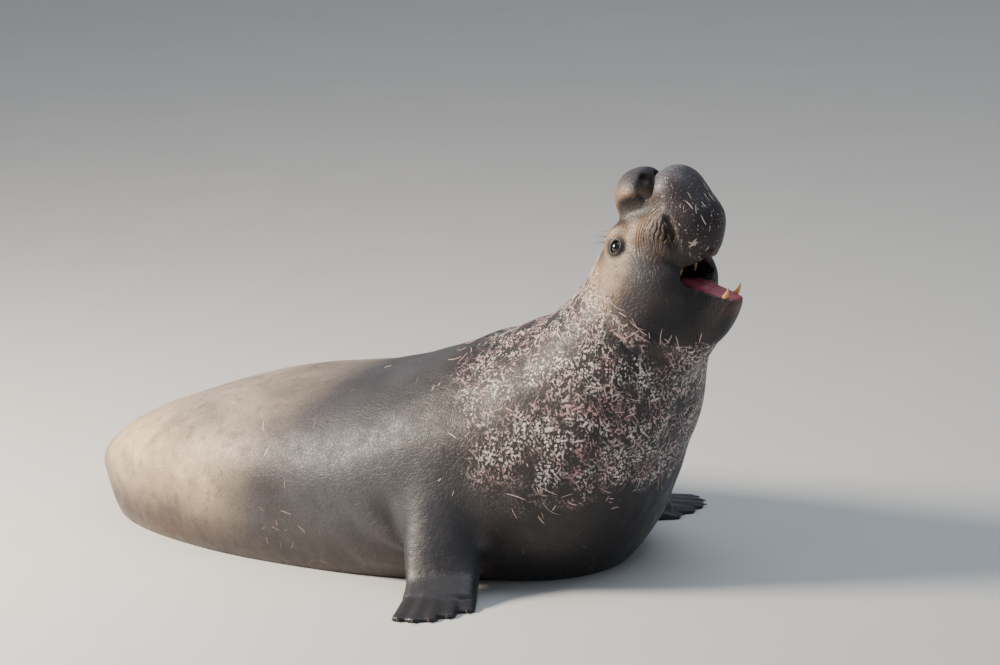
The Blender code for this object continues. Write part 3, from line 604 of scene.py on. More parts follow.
# %% The skin's distance
def skin(p):
    """Flesh, its relief, and a flat foot where it lies on the floor."""
    d, limbs = flesh_and_limbs(p)
    calm = ramp(p[:, 2], 0.01, 0.10)
    on_body = ramp(limbs, 0.00, 0.06)
    d = d - folds(p) * calm * on_body - face_wrinkles(p)
    d = carve(d, valley(p), 0.030)
    d = carve(d, head_ball(both_sides(p), (0.374, 0.044, 0.176), (0.015, 0.018, 0.017)), 0.016)
    inside_mouth = 1 - ramp(gape(p), 0.0, 0.006)
    d = d - 0.0012 * inside_mouth * waves(*p.T, 130.0, (0.9, 2.2, 0.5))
    d = lids(p, d)
    d = ear_pits(p, d)
    return -smooth_min(-d, p[:, 2], 0.006)


# %% [markdown]
# ## From a distance to a mesh
# A grid of points asks the distance everywhere near the surface. Each cell that the surface
# crosses gets one vertex, and each crossed grid edge joins four of them into a quad. The grid
# is finer round the head. The head's quads are then split once more, those round the eyes and
# lips twice, and Newton steps settle every vertex exactly on the surface.

# %% The grid
BODY_CELL = 0.020
HEAD_CELL = 0.0098
FLIPPER_CELL = 0.012


def grid_lines(marks, cells):
    """Coordinates from the first mark to the last, whose spacing blends between the marks."""
    lines = [marks[0]]
    while lines[-1] < marks[-1]:
        lines.append(lines[-1] + float(np.interp(lines[-1], marks, cells)))
    return np.array(lines)


def along_axis(values, axis):
    """A row of numbers shaped so that it spreads along one axis of a three-way grid."""
    return values.reshape([-1 if d == axis else 1 for d in range(3)])


def sampled(field, axes, coarse):
    """The field on a grid: worked out on a coarse one, spread, and made exact near the surface."""
    rough = []
    for a in axes:
        k = np.arange(0, len(a) + coarse - 1, coarse)
        rough.append(np.interp(k, np.arange(len(a)), a))
    points = np.stack(np.meshgrid(*rough, indexing="ij"), -1).reshape(-1, 3)
    values = field(points).reshape([len(a) for a in rough])
    for axis, lines in enumerate(axes):
        k = np.arange(len(lines)) / coarse
        i = np.minimum(k.astype(int), values.shape[axis] - 2)
        w = along_axis(k - i, axis)
        values = np.take(values, i, axis) * (1 - w) + np.take(values, i + 1, axis) * w
    wide = [along_axis(np.gradient(a), k) for k, a in enumerate(axes)]
    near = np.abs(values) < 1.2 * coarse * np.maximum(np.maximum(wide[0], wide[1]), wide[2])
    index = np.argwhere(near)
    values[near] = field(np.stack([axes[d][index[:, d]] for d in range(3)], 1))
    return values


print("a grid may grow from", BODY_CELL, "m cells on the flank to", HEAD_CELL, "m on the face")

# %% [markdown]
# ## One point in each crossed cell
# A cell whose eight corners aren't all inside or all outside is crossed by the surface. Its
# point is the middle of the places where the surface cuts its edges. Marching cubes would give
# many thin triangles there. This way gives quads, which split and shade evenly.

# %% Points of the net
def crossed_cells(inside):
    """The cells that the surface crosses, and a grid that holds each one's number."""
    corners = [(a, b, c) for a in (0, 1) for b in (0, 1) for c in (0, 1)]
    shape = inside.shape
    count = np.zeros([n - 1 for n in shape], np.int8)
    for o in corners:
        count += inside[tuple(slice(o[d], shape[d] - 1 + o[d]) for d in range(3))]
    cells = np.argwhere((count > 0) & (count < 8))
    number = np.full(count.shape, -1)
    number[tuple(cells.T)] = np.arange(len(cells))
    return cells, number, corners


def cell_points(values, axes, cells, corners):
    """For each cell, the middle of the places where the surface cuts the cell's edges."""
    total, weight = np.zeros((len(cells), 3)), np.zeros(len(cells))
    for axis in range(3):
        for o in corners:
            if o[axis]:
                continue
            a = cells + o
            b = a.copy()
            b[:, axis] += 1
            fa, fb = values[tuple(a.T)], values[tuple(b.T)]
            crossed = (fa < 0) != (fb < 0)
            t = (fa / np.where(crossed, fa - fb, 1.0))[:, None]
            pa = np.stack([axes[d][a[:, d]] for d in range(3)], 1)
            pb = np.stack([axes[d][b[:, d]] for d in range(3)], 1)
            total += np.where(crossed[:, None], pa + (pb - pa) * t, 0.0)
            weight += crossed
    return total / weight[:, None]


# %% [markdown]
# ## One quad across each crossed edge
# Four cells share each edge of the grid. Where the surface cuts that edge, their four points
# make a quad, turned so that it faces out of the body. Newton steps then bring every point
# onto the surface, which the middle of the cuts only comes near to.

# %% Quads of the net
def cell_quads(inside, number):
    """A quad across each edge of the grid that the surface crosses, facing outwards."""
    quads = []
    for axis in range(3):
        first = [slice(1, n - 1) for n in inside.shape]
        first[axis] = slice(0, inside.shape[axis] - 1)
        second = list(first)
        second[axis] = slice(1, inside.shape[axis])
        a, b = inside[tuple(first)], inside[tuple(second)]
        edge = np.argwhere(a != b)
        outward = a[tuple(edge.T)]
        edge = edge + [s.start for s in first]
        u, v = (axis + 1) % 3, (axis + 2) % 3
        ring = []
        for du, dv in ((1, 1), (0, 1), (0, 0), (1, 0)):
            cell = edge.copy()
            cell[:, u] -= du
            cell[:, v] -= dv
            ring.append(number[tuple(cell.T)])
        quad = np.stack(ring, 1)
        quad[~outward] = quad[~outward][:, ::-1]
        quads.append(quad)
    return np.concatenate(quads)


def surface_net(field, axes, coarse=4):
    """Points and quads of the field's zero surface, as cells of the grid cross it."""
    values = sampled(field, axes, coarse)
    cells, number, corners = crossed_cells(values < 0)
    return cell_points(values, axes, cells, corners), cell_quads(values < 0, number)


def unit_ball(p):
    return np.linalg.norm(p, axis=1) - 1.0


trial_points, trial_quads = surface_net(unit_ball, [grid_lines([-1.3, 1.3], [0.1, 0.1])] * 3)
trial_miss = float(np.abs(unit_ball(trial_points)).max())
print("a trial ball of 1 m:", len(trial_quads), "quads, at most", round(trial_miss, 4), "m off")

# %% [markdown]
# ## Slopes and Newton steps
# The distance has a slope at every place, which points out of the skin. It is worked out from
# four nearby values. A step against it, as long as the distance itself, lands on the skin, and
# its direction serves later as the skin's shading normal, which no mesh gives as smoothly.

# %% Slope and settling
CORNERS = np.array([[1, 1, 1], [1, -1, -1], [-1, 1, -1], [-1, -1, 1]], float)


def gradient(field, p, h=0.0015):
    """Slope of a field, from its values at the four corners of a small tetrahedron."""
    return sum(field(p + h * corner)[:, None] * corner for corner in CORNERS) / (4 * h)


def settle(field, p, rounds=1, most=0.012):
    """Newton steps along the slope, which bring points onto the zero surface."""
    for _ in range(rounds):
        g = gradient(field, p)
        step = (field(p) / np.maximum((g * g).sum(1), 0.05))[:, None] * g
        size = np.linalg.norm(step, axis=1)[:, None]
        p = p - step * np.minimum(1.0, most / np.maximum(size, 1e-9))
    return p


settled = settle(unit_ball, trial_points)
print("after one Newton step it is", round(float(np.abs(unit_ball(settled)).max()), 6), "m off")

# %% [markdown]
# ## The skin's mesh
# The face needs the finest mesh and the flanks need little, so the cells change in size along
# the body. One size for all would spend most faces where nobody looks. After the net is made,
# chosen faces are split, and every vertex is settled once more.

# %% The skin's mesh
def split_faces(bm, chosen):
    """Cuts every edge of the chosen faces in two and fills each face with four."""
    middles = np.array([face.calc_center_median() for face in bm.faces])
    picked = chosen(middles)
    edges = [e for e in bm.edges if any(picked[face.index] for face in e.link_faces)]
    bmesh.ops.subdivide_edges(bm, edges=edges, cuts=1, use_grid_fill=True)
    bm.faces.index_update()


def on_head(middles):
    return (middles[:, 2] > 0.98) & (middles[:, 0] > 0.20)


def near_eyes_or_mouth(middles):
    f, l, u = to_head(middles).T
    to_eye = np.min([np.linalg.norm(middles - centre, axis=1) for centre, _ in EYES.values()], axis=0)
    to_ear = np.linalg.norm(both_sides(middles) - EAR[0], axis=1)
    by_lips = (f > 0.20) & (f < 0.37) & (np.abs(l) > 0.07) & (u > -0.16) & (u < 0.06)
    return (to_eye < 0.062) | (to_ear < 0.025) | by_lips


def skin_mesh():
    axes = (
        grid_lines([-3.2, -2.5, -2.3, -0.5, -0.35, 0.1, 0.3, 0.95],
                   [FLIPPER_CELL, FLIPPER_CELL, BODY_CELL, BODY_CELL,
                    FLIPPER_CELL, FLIPPER_CELL, HEAD_CELL, HEAD_CELL]),
        grid_lines([-1.08, -0.6, -0.45, -0.25, 0.25, 0.45, 0.6, 1.25],
                   [FLIPPER_CELL, FLIPPER_CELL, BODY_CELL, HEAD_CELL,
                    HEAD_CELL, BODY_CELL, FLIPPER_CELL, FLIPPER_CELL]),
        grid_lines([-0.06, 0.1, 0.3, 0.85, 1.0, 1.72],
                   [FLIPPER_CELL, FLIPPER_CELL, BODY_CELL, BODY_CELL, HEAD_CELL, HEAD_CELL]),
    )
    points, quads = surface_net(skin, axes)
    points = settle(skin, points)
    bm = bmesh.new()
    mesh = bpy.data.meshes.new("skin")
    mesh.from_pydata(points, [], quads)
    bm.from_mesh(mesh)
    split_faces(bm, on_head)
    split_faces(bm, near_eyes_or_mouth)
    bm.to_mesh(mesh)
    bm.free()
    points = np.empty(len(mesh.vertices) * 3)
    mesh.vertices.foreach_get("co", points)
    points = settle(skin, points.reshape(-1, 3), 2)
    points[:, 2] = np.maximum(points[:, 2], 0.0)
    return mesh, points


skin_data, skin_points = skin_mesh()
skin_slope = gradient(skin, skin_points)
skin_slope /= np.maximum(np.linalg.norm(skin_slope, axis=1), 1e-6)[:, None]
skin_slope[skin_points[:, 2] < 0.002] = (0.0, 0.0, -1.0)
print("skin:", len(skin_points), "points")


# %% [markdown]
# ## Putting pieces into the scene
# Every piece is measured in the seal's own frame, with its origin under the neck, and moved
# once, in its mesh, to where the solids stand. A piece rides on the one rigid body and stands for
# the solid that it covers.

# %% Making a piece
def place(mesh, points, name, material, replaced=()):
    """Writes the points, shifted into the frame, and puts the mesh into the scene."""
    mesh.vertices.foreach_set("co", (points + SHIFT).ravel())
    mesh.update()
    mesh.validate()
    mesh.shade_smooth()
    piece = bpy.data.objects.new(name, mesh)
    bpy.context.scene.collection.objects.link(piece)
    piece.data.materials.append(material)
    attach(piece, "root")
    if replaced:
        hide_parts(*replaced)
    print(name, len(mesh.polygons), "faces")
    return piece


def grid_faces(rows, columns, closed=True):
    """Quads of a grid of points, closed round its columns."""
    r = np.arange(rows - 1)[:, None]
    c = np.arange(columns if closed else columns - 1)[None]
    d = (c + 1) % columns
    quads = np.stack([r * columns + c, r * columns + d,
                      (r + 1) * columns + d, (r + 1) * columns + c], -1)
    return quads.reshape(-1, 4)


def closed_faces(rings, columns):
    """Faces of rings of points, closed by two poles, whose points come last."""
    k = np.arange(columns)
    j = (k + 1) % columns
    pole = np.full(columns, rings * columns)
    end = (rings - 1) * columns
    caps = [np.stack([pole, j, k], 1), np.stack([pole + 1, end + k, end + j], 1)]
    return [tuple(f) for f in grid_faces(rings, columns)] + [tuple(f) for cap in caps for f in cap]


def write_attribute(mesh, name, values):
    """A value for each vertex: one number, or three for a colour."""
    values = np.asarray(values, float)
    if values.ndim == 1:
        mesh.attributes.new(name, "FLOAT", "POINT").data.foreach_set("value", values)
    else:
        colour = np.column_stack([values, np.ones(len(values))])
        mesh.attributes.new(name, "FLOAT_COLOR", "POINT").data.foreach_set("color", colour.ravel())


# %% [markdown]
# ## Painting the coat
# A bull's coat is cream on the hindquarters, grey on the back, almost black on the breast, and
# beige in the face, with a dark jaw and a darker, mottled proboscis. Light and shade are painted
# into it too: the hindquarters' cream is partly painted sunlight, a painted bluish sheen runs along
# the top of the back, and painted shade greys the end of the rump and darkens the hump's forward
# side, the hollows, creases, whisker pads, the pit and the sides of the mouth. Each region
# is a mask worked out from where the vertex is, and each mask mixes a colour in. The soft
# regions live on the vertices; everything finer is left to the shader.

# %% Regions of the coat
def paint(r, g, b):
    """A paint-chart colour, 0 to 255 for each part, as the linear light a shader wants."""
    c = np.array([r, g, b]) / 255.0
    return np.where(c < 0.04045, c / 12.92, ((c + 0.055) / 1.055) ** 2.4)


def hollowness(p, normal, reach):
    """0 on open skin and up to 1 deep in a fold: how much nearer the flesh is than it should be."""
    return np.clip(1.0 - flesh(p + normal * reach) / reach, 0.0, 1.0)


def mix(colour, other, mask):
    return colour + (other - colour) * mask[:, None]


def body_masks(p, normal, fine):
    """Where each region of the body's coat lies, and how sunk the skin is for painted shade, from 0 to 1
    at every point.
    """
    x, y, z = p.T
    rough = waves(x, y, z, 5.0, (0.7, 2.1, 1.4))
    m = {}
    # Painted shade: these two masks say how far the skin is sunk in a broad hollow or a fine crease.
    m["deep"] = hollowness(p, normal, 0.030)
    m["crease"] = hollowness(p, normal, 0.010)
    m["rear"] = 1 - ramp(x + 0.10 * rough - 0.25 * z, -1.75, -1.00)
    m["rump"] = 1 - ramp(x + 0.05 * rough, -2.18, -2.02)
    m["low"] = 1 - ramp(z + 0.05 * rough, 0.04, 0.34)
    on_neck = (p - np.array([0.18, 0.0, 0.70])) @ np.array([0.55, 0.0, 0.83])
    m["head"] = ramp(on_neck + 0.02 * fine, 0.38, 0.49)
    shoulder = x + 0.05 * rough + 0.42 * (z - 0.6)
    m["breast"] = ramp(shoulder, -0.52, -0.02) * (1 - m["head"])
    above_belly = ramp(z + 0.07 * rough + 0.12 * fine, 0.22, 0.50)
    reach = ramp(shoulder + 0.04 * fine, -0.30, 0.05) * above_belly
    m["shield"] = reach * (1 - ramp(on_neck + 0.04 * fine, 0.44, 0.53))
    m["limb"] = 1 - ramp(flesh_and_limbs(p)[1], -0.02, 0.05)
    return m


def face_masks(p, head, fine):
    """Where each region of the face lies; head is the mask of the whole head."""
    f, l, u = to_head(p).T
    m = {}
    m["jaw"] = head * ramp(-u + 0.30 * f + 0.03 * fine, 0.03, 0.15)
    m["cheek"] = head * np.exp(-((f - 0.18) / 0.075) ** 2 - ((u + 0.06) / 0.085) ** 2)
    m["hump"] = head * ramp(u - 0.25 * f, 0.03, 0.09) * ramp(f, 0.14, 0.20)
    bag = ramp(f + 0.12 * np.abs(l) - 0.30 * (u - 0.05) + 0.008 * fine, 0.372, 0.412)
    m["bag"] = bag * head * ramp(u, -0.30, -0.20)
    # Painted shade in the trough under the hump.
    m["valley"] = 1 - ramp(valley(p), -0.004, 0.044)
    # A dark spot of painted shade in the pit between the hump and the bag.
    pit = np.exp(-((f - 0.376) / 0.016) ** 2 - ((u - 0.170) / 0.016) ** 2)
    m["pit"] = pit * ramp(-np.abs(l), -0.075, -0.05)
    # Painted shade in the hollow of each whisker pad.
    m["pad"] = pad_mask(f, u) * ramp(np.abs(l), 0.08, 0.11)
    m["mouth"] = 1 - ramp(gape(p), 0.002, 0.014)
    around = np.min([np.linalg.norm(p - c, axis=1) for c, _ in EYES.values()], axis=0)
    m["lid"] = 1 - ramp(around, 0.042, 0.056)
    m["eye_ring"] = ramp(around, 0.052, 0.062) * (1 - ramp(around, 0.066, 0.088))
    tear = np.exp(-((f - 0.155 + 0.35 * (u - 0.06)) / 0.012) ** 2)
    tear = tear * ramp(-u, -0.05, -0.02) * ramp(u, -0.08, -0.01)
    m["tear"] = tear * ramp(np.abs(l), 0.10, 0.14)
    return m


def coat_masks(p, normal):
    """All regions of the coat by name."""
    fine = waves(*p.T, 14.0, (2.7, 0.1, 0.4))
    body = body_masks(p, normal, fine)
    return {**body, **face_masks(p, body["head"], fine)}


print("one paint as linear light:", np.round(paint(150, 120, 92), 3))

# %% [markdown]
# ## Washes of paint
# The broad colours are laid over one another as a model painter does: the body first, then the
# face, then the painted shade of the hollows, the lids and the lining of the mouth. Mixing them
# in the shader would need as many nodes as there are washes. On the vertices it is one array.

# %% The coat's colours
def body_washes(z, m):
    """Colours of trunk, breast and tail, some of them painted light and shade, and how strongly each
    covers what lies under it.
    """
    return [
        ((46, 36, 32), m["low"] * 0.88),
        # The hindquarters' own tan, made paler and warmer as painted sunlight.
        ((214, 188, 154), m["rear"] * ramp(z, 0.04, 0.28) * 0.94),
        ((78, 58, 45), m["rear"] * (1 - ramp(z, 0.02, 0.34)) * 0.9),
        # Painted shade greys the end of the rump, which turns away from the low sun.
        ((118, 112, 108), m["rump"] * 0.75),
        # A painted bluish sheen along the top of the back.
        ((110, 112, 122), m["rear"] * ramp(z, 0.40, 0.54) * 0.55),
        ((36, 29, 31), m["breast"] * 0.94),
        ((20, 14, 14), m["breast"] * (1 - ramp(z, 0.15, 0.50)) * 0.85),
    ]


def face_washes(p, m):
    """Colours of head and proboscis, then of limbs, painted shade in the hollows, and lids."""
    f, l, u = to_head(p).T
    chin = np.exp(-((u + 0.42) / 0.035) ** 2) * ramp(f, 0.18, 0.26)
    # Painted shade, blue-grey, on the hump's forward and upper side, which faces away from the low sun.
    hump_shade = ramp(f + 0.6 * u - 0.10 * np.abs(l), 0.385, 0.465) * m["hump"]
    upper_lip = m["bag"] * (1 - ramp(gape(p), 0.016, 0.034))
    return [
        ((150, 120, 92), m["head"]),
        ((54, 60, 76), m["cheek"] * 0.84),
        ((40, 39, 46), m["jaw"] * 0.93),
        ((23, 17, 17), m["jaw"] * ramp(-u + 0.25 * f, 0.16, 0.30) * 0.90),
        ((112, 82, 70), m["jaw"] * chin * 0.8),
        ((142, 112, 86), m["hump"] * 0.7),
        # Painted shade on the hump's forward and upper side.
        ((62, 64, 78), hump_shade * 0.88),
        ((70, 57, 61), m["bag"] * 0.96),
        ((35, 20, 19), m["bag"] * (1 - ramp(u + 0.5 * (0.42 - f), -0.15, 0.03)) * 0.9),
        ((122, 118, 130), m["bag"] * ramp(u, 0.05, 0.13) * 0.8),
        ((40, 42, 50), m["limb"] * 0.92),
        # Painted shade, brown, deep in the head's hollows.
        ((74, 50, 36), m["head"] * m["deep"] * 0.75),
        # Painted shade, brown, in the trough under the hump.
        ((66, 44, 32), m["valley"] * 0.88),
        ((150, 92, 90), upper_lip * 0.7),
        # Painted shade, brown, in the whisker pads' hollows.
        ((58, 42, 34), m["pad"] * 0.65),
        # Painted shade, near black, in every fine crease.
        ((20, 15, 14), m["crease"] * 0.85),
        # Painted shade, near black, in the pit between the lobes.
        ((14, 11, 12), m["pit"] * 0.90),
        ((178, 154, 128), m["eye_ring"] * 0.4),
        ((42, 34, 32), m["tear"] * 0.6),
        ((17, 17, 21), m["lid"] * 0.97),
    ]


def painted_over(ground, washes):
    """One colour for each mask's point: the ground, with the washes over it in their order."""
    colour = np.tile(paint(*ground), (len(washes[0][1]), 1))
    for tone, cover in washes:
        colour = mix(colour, paint(*tone), cover)
    return colour


def coat_and_painted_light_colour(p, m):
    """The coat outside, with its painted light and shade, and the lining where the mouth is, with painted
    shade at its sides.
    """
    f, l, u = to_head(p).T
    coat_and_painted_light = painted_over((66, 64, 69), body_washes(p[:, 2], m) + face_washes(p, m))
    palate = ramp(f + 0.75 * (u + 0.27) - 0.265, 0.0, 0.03)
    # The sides of the lining are darkened as painted shade inside the lips.
    lining = [((26, 21, 24), ramp(np.abs(l), 0.045, 0.075)), ((60, 28, 34), palate)]
    return coat_and_painted_light + (painted_over((168, 74, 88), lining) - coat_and_painted_light) * m["mouth"][:, None]


masks = coat_masks(skin_points, skin_slope)
coat_and_painted_light = coat_and_painted_light_colour(skin_points, masks)
print("coat regions:", ", ".join(sorted(masks)))


# %% [markdown]
# ## Shader helpers
# A material is a small graph. These helpers add a node with its inputs in one line, so that
# each finish below reads as a list of what it does.

# %% Node helpers
class Finish:
    """A new Principled material and short ways to add nodes to it."""

    def __init__(self, name, roughness, **constants):
        self.material = bpy.data.materials.new(name)
        self.material.use_nodes = True
        self.tree = self.material.node_tree
        self.shader = self.tree.nodes["Principled BSDF"]
        self.shader.inputs["Roughness"].default_value = roughness
        for socket, value in constants.items():
            self.shader.inputs[socket.replace("_", " ")].default_value = value
        self.place = self.node("ShaderNodeTexCoord").outputs["Object"]

    def node(self, kind, **settings):
        made = self.tree.nodes.new(kind)
        for key, value in settings.items():
            setattr(made, key, value)
        return made

    def join(self, value, socket):
        if isinstance(value, bpy.types.NodeSocket):
            self.tree.links.new(value, socket)
        else:
            socket.default_value = value

    def maths(self, operation, a, b=0.0, clamp=False):
        made = self.node("ShaderNodeMath", operation=operation, use_clamp=clamp)
        self.join(a, made.inputs[0])
        self.join(b, made.inputs[1])
        return made.outputs[0]

    def vector(self, operation, a, b=(0.0, 0.0, 0.0), scale=None, result=0):
        made = self.node("ShaderNodeVectorMath", operation=operation)
        self.join(a, made.inputs[0])
        self.join(b, made.inputs[1])
        if scale is not None:
            self.join(scale, made.inputs["Scale"])
        return made.outputs[result]

    def times(self, a, b):
        return self.maths("MULTIPLY", a, b)

    def noise(self, scale, detail=4.0, rough=0.55):
        made = self.node("ShaderNodeTexNoise")
        self.join(self.place, made.inputs["Vector"])
        self.join(scale, made.inputs["Scale"])
        self.join(detail, made.inputs["Detail"])
        self.join(rough, made.inputs["Roughness"])
        return made.outputs["Fac"]

    def between(self, value, low, high, start=0.0, end=1.0):
        made = self.node("ShaderNodeMapRange", interpolation_type="SMOOTHSTEP")
        for socket, number in zip(made.inputs, (value, low, high, start, end)):
            self.join(number, socket)
        return made.outputs[0]

    def mix(self, factor, a, b, blend="MIX"):
        made = self.node("ShaderNodeMix", data_type="RGBA", blend_type=blend)
        self.join(factor, made.inputs[0])
        for value, socket in ((a, made.inputs[6]), (b, made.inputs[7])):
            if not isinstance(value, bpy.types.NodeSocket):
                value = (*value, 1.0)
            self.join(value, socket)
        return made.outputs[2]

    def attribute(self, name, colour=False):
        made = self.node("ShaderNodeAttribute", attribute_name=name)
        return made.outputs["Color" if colour else "Fac"]

    def bump(self, height, distance, strength=1.0, over=None):
        made = self.node("ShaderNodeBump")
        self.join(height, made.inputs["Height"])
        made.inputs["Distance"].default_value = distance
        made.inputs["Strength"].default_value = strength
        if over is not None:
            self.join(over, made.inputs["Normal"])
        return made.outputs["Normal"]

    def finish(self, colour=None, roughness=None, normal=None):
        for value, socket in ((colour, "Base Color"), (roughness, "Roughness"), (normal, "Normal")):
            if value is not None:
                self.join(value, self.shader.inputs[socket])
        return self.material


# %% [markdown]
# ## Scars as strokes in a cell pattern
# A bull's breast is a shield of thick skin, criss-crossed with pale healed bites. Painting
# thousands of strokes by hand is out of reach, so space is cut into random cells, and each cell
# holds one short stroke in a direction of its own, flattened onto the skin. Several sizes of
# cell give flecks, nicks and specks. The longest gashes follow later as real raised ridges.

# %% Strokes
def strokes(made, cells, length, width, lean, keep, where):
    """1 along a short stroke in each cell, 0 elsewhere; keep is the share of cells with one."""
    cell = made.node("ShaderNodeTexVoronoi", feature="F1")
    made.join(where, cell.inputs["Vector"])
    cell.inputs["Scale"].default_value = cells
    normal = made.node("ShaderNodeNewGeometry").outputs["Normal"]
    chance = made.vector("SUBTRACT", cell.outputs["Color"], (0.5, 0.5, 0.5))
    heading = made.vector("ADD", chance, lean)
    offset = made.vector("SUBTRACT", where, cell.outputs["Position"])

    def onto_skin(v):
        up = made.vector("DOT_PRODUCT", v, normal, result=1)
        return made.vector("SUBTRACT", v, made.vector("SCALE", normal, scale=up))

    heading = made.vector("NORMALIZE", onto_skin(heading))
    offset = onto_skin(offset)
    along = made.vector("DOT_PRODUCT", offset, heading, result=1)
    across = made.vector("SUBTRACT", offset, made.vector("SCALE", heading, scale=along))
    across = made.vector("LENGTH", across, result=1)
    red = made.node("ShaderNodeSeparateColor")
    made.join(cell.outputs["Color"], red.inputs[0])
    span = made.times(made.maths("ADD", red.outputs[1], 0.35), length)
    wide = made.times(made.maths("ADD", red.outputs[2], 0.4), width)
    thin = made.maths("SUBTRACT", 1.0, made.maths("DIVIDE", across, wide), clamp=True)
    far = made.maths("ABSOLUTE", along)
    short = made.maths("SUBTRACT", 1.0, made.maths("DIVIDE", far, span), clamp=True)
    body = made.times(made.between(thin, 0.0, 0.45), made.between(short, 0.0, 0.35))
    there = made.maths("LESS_THAN", red.outputs[0], keep)
    bright = made.times(there, made.between(red.outputs[2], 0.0, 1.0, 0.45, 1.0))
    return made.times(body, bright)


# %% [markdown]
# ## The hide
# Short stiff fur lies flat on thick skin: matt, faintly velvety at grazing angles, mottled in
# patches a hand wide, and grained finer than a finger. Where the shield is, the strokes show.
# The fur's lie is bump, since none of it breaks the outline.

# %% The hide's finish
def hide_finish():
    made = Finish("hide", 0.6, Sheen_Weight=0.06, Sheen_Roughness=0.4)
    base = made.attribute("coat_and_painted_light", colour=True)
    shield = made.attribute("shield")
    bag = made.attribute("bag")
    wet = made.attribute("wet")
    mouth = made.attribute("mouth")
    patch = made.noise(3.2, 5.0, 0.6)
    mottle = made.noise(19.0, 7.0, 0.66)
    grain = made.noise(150.0, 4.0, 0.6)
    colour = made.mix(made.between(patch, 0.42, 0.70, 0.0, 0.40), base, paint(34, 32, 36))
    colour = made.mix(made.between(mottle, 0.50, 0.72, 0.0, 0.42), colour, paint(32, 29, 32))
    light = made.mix(1.0, base, (1.7, 1.6, 1.5), "MULTIPLY")
    colour = made.mix(made.between(mottle, 0.46, 0.28, 0.0, 0.38), colour, light)
    colour = made.mix(made.between(grain, 0.35, 0.72, 0.0, 0.42), colour, paint(120, 110, 104), "MULTIPLY")

    warp = made.node("ShaderNodeTexNoise")
    made.join(made.place, warp.inputs["Vector"])
    warp.inputs["Scale"].default_value = 38.0
    bent = made.vector("SUBTRACT", warp.outputs["Color"], (0.5, 0.5, 0.5))
    bent = made.vector("ADD", made.place, made.vector("SCALE", bent, scale=0.012))
    lean = (0.15, 0.0, -0.35)
    ragged = made.between(made.noise(120.0, 3.0, 0.6), 0.36, 0.52)
    flecks = made.maths("MAXIMUM", strokes(made, 44.0, 0.016, 0.0048, lean, 0.72, bent),
                        strokes(made, 24.0, 0.032, 0.0042, lean, 0.70, bent))
    flecks = made.maths("MAXIMUM", flecks, strokes(made, 75.0, 0.007, 0.0040, lean, 0.6, bent))
    flecks = made.times(flecks, ragged)
    clump = made.between(made.noise(11.0, 4.0, 0.6), 0.36, 0.54)
    dense = made.times(made.between(shield, 0.25, 0.95), clump)
    healed = made.times(flecks, dense)
    nicks = strokes(made, 15.0, 0.026, 0.0026, (0.2, 0.1, -0.1), 0.30, bent)
    spread = made.between(made.noise(4.0, 2.0, 0.5), 0.46, 0.64)
    nicks = made.times(made.times(nicks, spread), made.attribute("nicked"))
    specks = made.maths("MAXIMUM", strokes(made, 46.0, 0.014, 0.0018, (0.2, 0.0, 0.3), 0.15, bent),
                        strokes(made, 130.0, 0.003, 0.0018, (0.0, 0.0, 0.3), 0.09, bent))
    specks = made.times(specks, bag)
    pink = made.between(made.noise(9.0, 3.0), 0.40, 0.62)
    tint = made.mix(pink, paint(236, 226, 218), paint(200, 156, 158))
    colour = made.mix(made.times(healed, 0.95), colour, tint)
    colour = made.mix(made.times(nicks, 0.55), colour, paint(172, 132, 118))
    colour = made.mix(made.times(specks, 0.7), colour, paint(196, 190, 194))
    colour = made.mix(mouth, colour, base)
    blotch = made.between(made.noise(60.0, 4.0, 0.65), 0.46, 0.60)
    blotch = made.times(made.times(blotch, mouth), made.attribute("lip"))
    colour = made.mix(blotch, colour, paint(24, 20, 24))

    rough = made.maths("ADD", made.between(mottle, 0.3, 0.7, 0.40, 0.58), made.times(wet, -0.08))
    rough = made.maths("SUBTRACT", rough, made.times(mouth, 0.25))
    lines = made.node("ShaderNodeTexVoronoi", feature="DISTANCE_TO_EDGE")
    made.join(bent, lines.inputs["Vector"])
    lines.inputs["Scale"].default_value = 58.0
    pores = made.maths("MAXIMUM", made.between(lines.outputs["Distance"], 0.0, 0.12), wet)
    normal = made.bump(pores, 0.0012, 0.5)
    normal = made.bump(made.noise(260.0, 3.0, 0.6), 0.0012, 0.6, normal)
    normal = made.bump(mottle, 0.006, 0.5, normal)
    normal = made.bump(made.maths("ADD", healed, nicks), 0.0016, 0.8, normal)
    return made.finish(colour, rough, normal)


hide = hide_finish()
FLESH_NODES = ["hindquarters", "torso", "chest", "neck", "head", "proboscis", "lower_jaw", "tail",
               "fore_flipper_right", "fore_flipper_left", "hind_flipper_right", "hind_flipper_left"]
place(skin_data, skin_points, "skin", hide, FLESH_NODES)
skin_data.normals_split_custom_set_from_vertices(skin_slope.tolist())
scarred = (1 - 0.4 * masks["head"] - 0.6 * masks["bag"]) * (1 - masks["shield"]) * (1 - masks["limb"])
painted = {
    "coat_and_painted_light": coat_and_painted_light,
    "shield": masks["shield"],
    "bag": masks["bag"],
    "mouth": masks["mouth"],
    "lip": ramp(np.abs(skin_points[:, 1]), 0.03, 0.07),
    "wet": np.maximum(masks["limb"], 0.5 * masks["low"]),
    "nicked": scarred,
}
for name, values in painted.items():
    write_attribute(skin_data, name, values)


# %% [markdown]
# ## Horn shapes: teeth and claws
# Canines and claws are the same shape: a curved cone whose root is sunk in the gum or the skin.
# One function carries a shrinking circle along a bending line.

